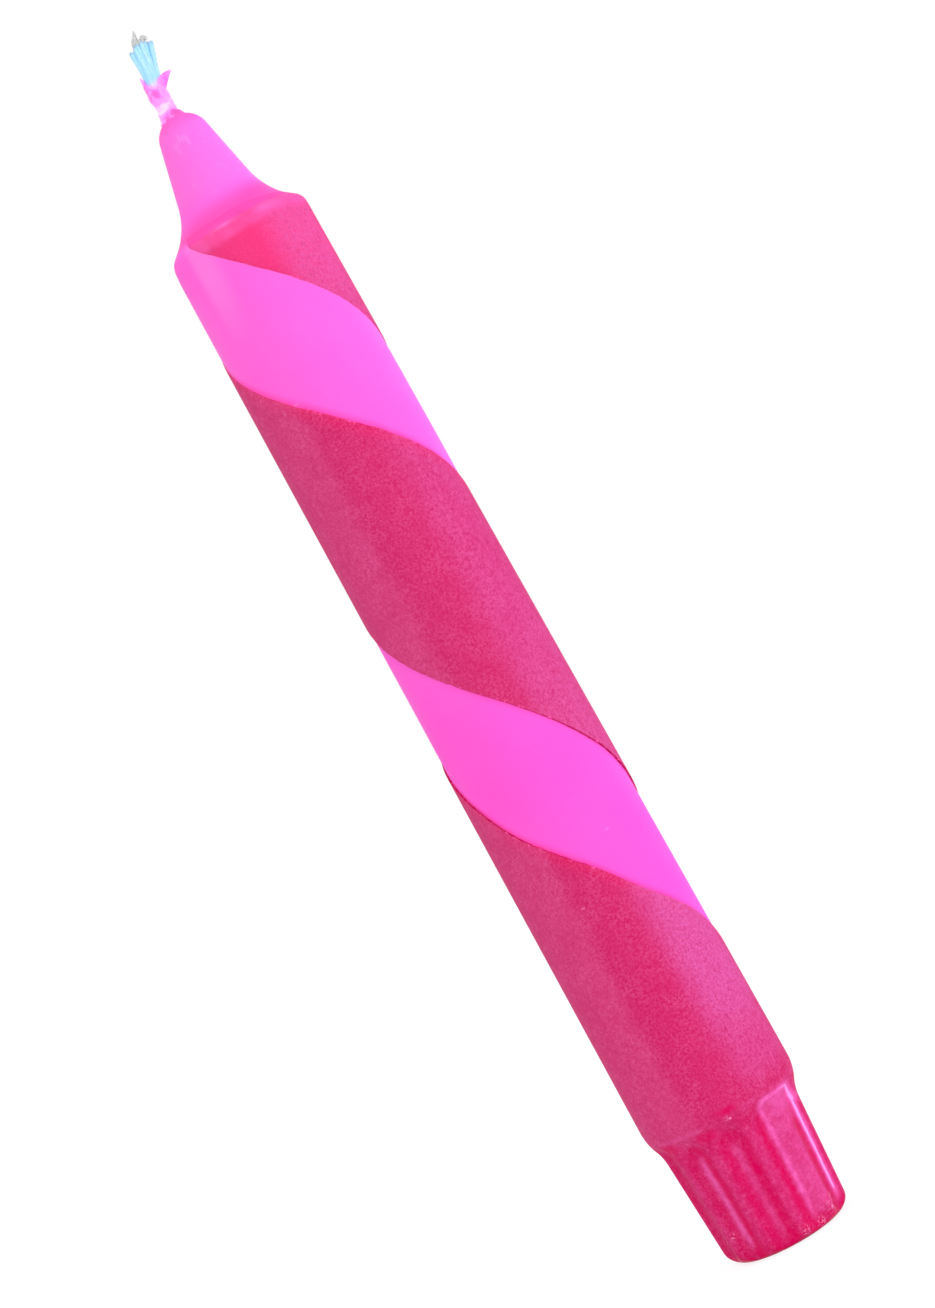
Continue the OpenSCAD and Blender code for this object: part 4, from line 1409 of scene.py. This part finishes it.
def cotton(name, base, pale, shade, across, tip=None, soaked=None, bends=True):
    """Dull cotton with light fibres and dark gaps along the strand.

    It may have a painted grey shade at its tip, and a soaked foot: its lower and upper height and its colour.
    """
    yarn = Finish(name, base, Roughness=0.85, Sheen_Weight=0.2, Sheen_Roughness=0.5, IOR=1.3,
                  Emission_Strength=GLOW)
    place, _, _, z = yarn.rest_place() if bends else yarn.own_place()
    streaks = yarn.shared(cotton_streaks, Place=place, Across=across)
    yarn.lay(streaks["Light"], pale)
    yarn.lay(yarn.product(streaks["Dark"], 0.35), shade)
    # Painted shade at the tip
    if tip:
        yarn.lay(yarn.ramp(yarn.own_value("along"), 0.93, 1.0, 0.0, 0.6), tip)
    if soaked:
        low, high, wax = soaked
        yarn.lay(yarn.ramp(z, high, low, 0.0, 0.8), wax)
    return yarn.finished(streaks["Height"], 0.3, 0.06 * MM, glows=True)


# Operators

# Lamps: place, width and height, and tint. The studio's settings hold their power
LAMPS = {
    "window": ((0.39, 0.31, 0.2), (0.3, 0.4), srgb(190, 172, 255)),
    "side": ((0.44, -0.23, 0.21), (0.15, 0.4), srgb(234, 212, 255)),
    "fill": ((-0.45, -0.21, 0.21), (0.15, 0.4), srgb(246, 240, 255)),
    "front": ((0.16, -0.88, 0.3), (0.6, 0.5), srgb(255, 250, 252)),
    "ceiling": ((0.0, -0.1, 0.8), (0.5, 0.4), srgb(250, 248, 255)),
}
LAMP_AIM = Vector((0, 0, 0.1))
# Floor: its grey, and the strength and the share of its own glow where it is seen directly
FLOOR_GREY = (0.9, 0.9, 0.9)
FLOOR_GLOW = 1.19
FLOOR_GLOW_SHARE = 0.7
FLOOR_ROWS = 9
SENSOR_WIDTH = 36
NEAR_CLIP = 0.01


def settings(context):
    """The settings in use, and the shapes worked out from them."""
    scene = context.scene
    shape = CandleShape(scene.candle_form, scene.candle_dip)
    return scene, shape, BareStripe(shape, scene.candle_dip)


def bend_with_wick(piece):
    """Bakes the piece's placing into its mesh."""
    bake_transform(piece)


class CANDLE_OT_stage(bpy.types.Operator):
    """Make the floor, the light and the camera"""

    bl_idname = "candle.stage"
    bl_label = "Stage"

    def execute(self, context):
        scene, studio = context.scene, context.scene.candle_studio
        scene.view_settings.view_transform = "Standard"
        self.make_world(scene, studio)
        self.make_floor(scene, studio)
        for name, lamp in LAMPS.items():
            self.make_lamp(scene, name, getattr(studio, name + "_power"), *lamp)
        self.make_camera(scene, studio)
        return {"FINISHED"}

    @staticmethod
    def seen_directly(nodes):
        """1 for rays of the camera and for mirrored or refracted rays, 0 for light on the object."""
        rays = nodes.put("ShaderNodeLightPath").outputs
        return nodes.most(rays["Is Camera Ray"], rays["Is Glossy Ray"], rays["Is Transmission Ray"])

    def make_world(self, scene, studio):
        """White where it is seen, and plain light elsewhere."""
        world = bpy.data.worlds.new("studio")
        world.use_nodes = True
        nodes, background = Nodes(world.node_tree), world.node_tree.nodes["Background"]
        level = nodes.between(self.seen_directly(nodes), studio.world_level, 1.0)
        nodes.tree.links.new(level, background.inputs["Strength"])
        background.inputs["Color"].default_value = (1, 1, 1, 1)
        scene.world = world

    def make_floor(self, scene, studio):
        """A pale floor that reads white where it is seen and keeps a soft shadow."""
        pale = Finish("pale_floor", FLOOR_GREY, Roughness=0.9)
        glow = pale.put("ShaderNodeEmission", {"Strength": FLOOR_GLOW})
        share = pale.product(self.seen_directly(pale), FLOOR_GLOW_SHARE)
        both = pale.put("ShaderNodeMixShader", {0: share, 1: pale.shader.outputs[0], 2: glow.outputs[0]})
        pale.tree.links.new(both.outputs[0], pale.tree.nodes["Material Output"].inputs["Surface"])
        side = np.linspace(-0.5, 0.5, FLOOR_ROWS) * studio.floor_size
        x, y = np.meshgrid(side, side)
        grid = Grid(np.stack([x, y, np.zeros_like(x)], axis=-1))
        mesh = bpy.data.meshes.new("floor")
        mesh.from_pydata(grid.points.tolist(), [], grid.faces.tolist())
        mesh.materials.append(pale.material)
        floor = bpy.data.objects.new("floor", mesh)
        scene.collection.objects.link(floor)

    def make_lamp(self, scene, name, watts, place, size, tint):
        """A soft box that faces the candle's middle."""
        light = bpy.data.lights.new(name, "AREA")
        light.shape, light.size, light.size_y = "RECTANGLE", *size
        light.energy, light.color = watts, tint
        lamp = bpy.data.objects.new(name, light)
        lamp.location = place
        lamp.rotation_euler = (LAMP_AIM - Vector(place)).to_track_quat("-Z", "Y").to_euler()
        lamp.visible_camera = False
        scene.collection.objects.link(lamp)

    def make_camera(self, scene, studio):
        """View from the front, pitched up a little and rolled, so that the candle leans to the left."""
        data = bpy.data.cameras.new("camera")
        data.lens, data.sensor_width = studio.lens, SENSOR_WIDTH
        data.clip_start = NEAR_CLIP
        camera = bpy.data.objects.new("camera", data)
        pitch = Matrix.Rotation(math.pi / 2 + studio.camera_pitch, 4, "X")
        roll = Matrix.Rotation(-studio.camera_roll, 4, "Z")
        place = Vector((studio.camera_side, -studio.camera_distance, studio.camera_height))
        camera.matrix_world = Matrix.Translation(place) @ pitch @ roll
        scene.collection.objects.link(camera)
        scene.camera = camera


class CANDLE_OT_wax(bpy.types.Operator):
    """Make the neon wax body"""

    bl_idname = "candle.wax"
    bl_label = "Wax body"

    def execute(self, context):
        scene, shape, stripe = settings(context)
        material = neon_wax(shape, scene.candle_dip, scene.candle_colours)
        wax = make_piece("wax", [wax_grid(shape, stripe, scene.candle_dip)], material)
        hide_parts("wax_body")
        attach(wax, "candle")
        return {"FINISHED"}


class CANDLE_OT_skin(bpy.types.Operator):
    """Make the dyed skin with its bare stripe"""

    bl_idname = "candle.skin"
    bl_label = "Dyed skin"

    def execute(self, context):
        scene, shape, stripe = settings(context)
        grids = skin_band(shape, stripe, scene.candle_dip) + skin_foot(shape, scene.candle_dip)
        material = raspberry_dip(shape, scene.candle_colours)
        skin = make_piece("dyed_skin", grids, material)
        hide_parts("dip_coat")
        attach(skin, "candle")
        return {"FINISHED"}


class CANDLE_OT_plait(bpy.types.Operator):
    """Give the plait inside the candle its waxed cotton"""

    bl_idname = "candle.plait"
    bl_label = "Plait"

    def execute(self, context):
        tints = context.scene.candle_colours
        material = cotton("waxed_cotton", tints.plait, tints.plait_pale, tints.plait_shade, PLAIT_FIBRES,
                          bends=False)
        for number in (1, 2, 3):
            strand = frame["nodes"][f"plait_strand_{number}"]
            strand.data.materials.clear()
            strand.data.materials.append(material)
        return {"FINISHED"}


class CANDLE_OT_film(bpy.types.Operator):
    """Make the torn film of wax on the stub"""

    bl_idname = "candle.film"
    bl_label = "Wick film"

    def execute(self, context):
        scene = context.scene
        material = wick_wax(scene.candle_colours)
        film = make_piece("film", [film_grid(scene.candle_wick), flake_grid()], material)
        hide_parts("wick_film")
        bend_with_wick(film)
        return {"FINISHED"}


class CANDLE_OT_yarns(bpy.types.Operator):
    """Make the opened yarns of the three strands"""

    bl_idname = "candle.yarns"
    bl_label = "Yarns"

    def execute(self, context):
        wick, tints = context.scene.candle_wick, context.scene.candle_colours
        rim = PIVOT.z + min(height for _, height in FILM_RIM) * MM
        soaked = (rim - 0.1 * MM, rim + 1.4 * MM, tints.film_pale)
        material = cotton("blue_cotton", tints.yarn, tints.yarn_pale, tints.yarn_shade, YARN_FIBRES,
                          tip=tints.yarn_tip, soaked=soaked)
        for seed, (node, yarns) in enumerate(YARNS.items()):
            piece = make_piece("opened_" + node, yarn_grids(wick, yarns, seed), material)
            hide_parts(node)
            bend_with_wick(piece)
        return {"FINISHED"}


class CANDLE_OT_fibres(bpy.types.Operator):
    """Make the loose fibres at the tip"""

    bl_idname = "candle.fibres"
    bl_label = "Fibres"

    def execute(self, context):
        wick, tints = context.scene.candle_wick, context.scene.candle_colours
        material = cotton("grey_cotton", tints.fibre, tints.fibre_pale, tints.fibre_shade, LOOSE_FIBRES)
        fibres = make_piece("loose_fibres", fibre_grids(wick), material)
        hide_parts("frayed_fibres")
        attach(fibres, "wick_stub")
        return {"FINISHED"}


OPERATORS = (CANDLE_OT_stage, CANDLE_OT_wax, CANDLE_OT_skin, CANDLE_OT_plait, CANDLE_OT_film,
             CANDLE_OT_yarns, CANDLE_OT_fibres)
GROUPS = {"candle_form": CandleForm, "candle_dip": DipSizes, "candle_wick": WickSizes,
          "candle_colours": CandleColours, "candle_studio": StudioSettings}


class CANDLE_PT_panel(bpy.types.Panel):
    """Lists the candle's pieces and settings in the sidebar"""

    bl_label = "Candle"
    bl_space_type = "VIEW_3D"
    bl_region_type = "UI"
    bl_category = "Candle"

    def draw(self, context):
        for operator in OPERATORS:
            self.layout.operator(operator.bl_idname)
        for name, group in GROUPS.items():
            column = self.layout.column(heading=group.__name__)
            for key in group.__annotations__:
                column.prop(getattr(context.scene, name), key)


CLASSES = (*GROUPS.values(), *OPERATORS, CANDLE_PT_panel)


def register():
    """Registers the classes and hangs the settings on the scene."""
    for cls in CLASSES:
        bpy.utils.register_class(cls)
    for name, group in GROUPS.items():
        setattr(bpy.types.Scene, name, PointerProperty(type=group))


def unregister():
    """Takes the settings and the classes away again."""
    for name in GROUPS:
        delattr(bpy.types.Scene, name)
    for cls in reversed(CLASSES):
        bpy.utils.unregister_class(cls)


def main():
    """Builds the scene."""
    register()
    for operator in OPERATORS:
        name = operator.bl_idname.partition(".")[2]
        getattr(bpy.ops.candle, name)()


if __name__ == "__main__":
    main()
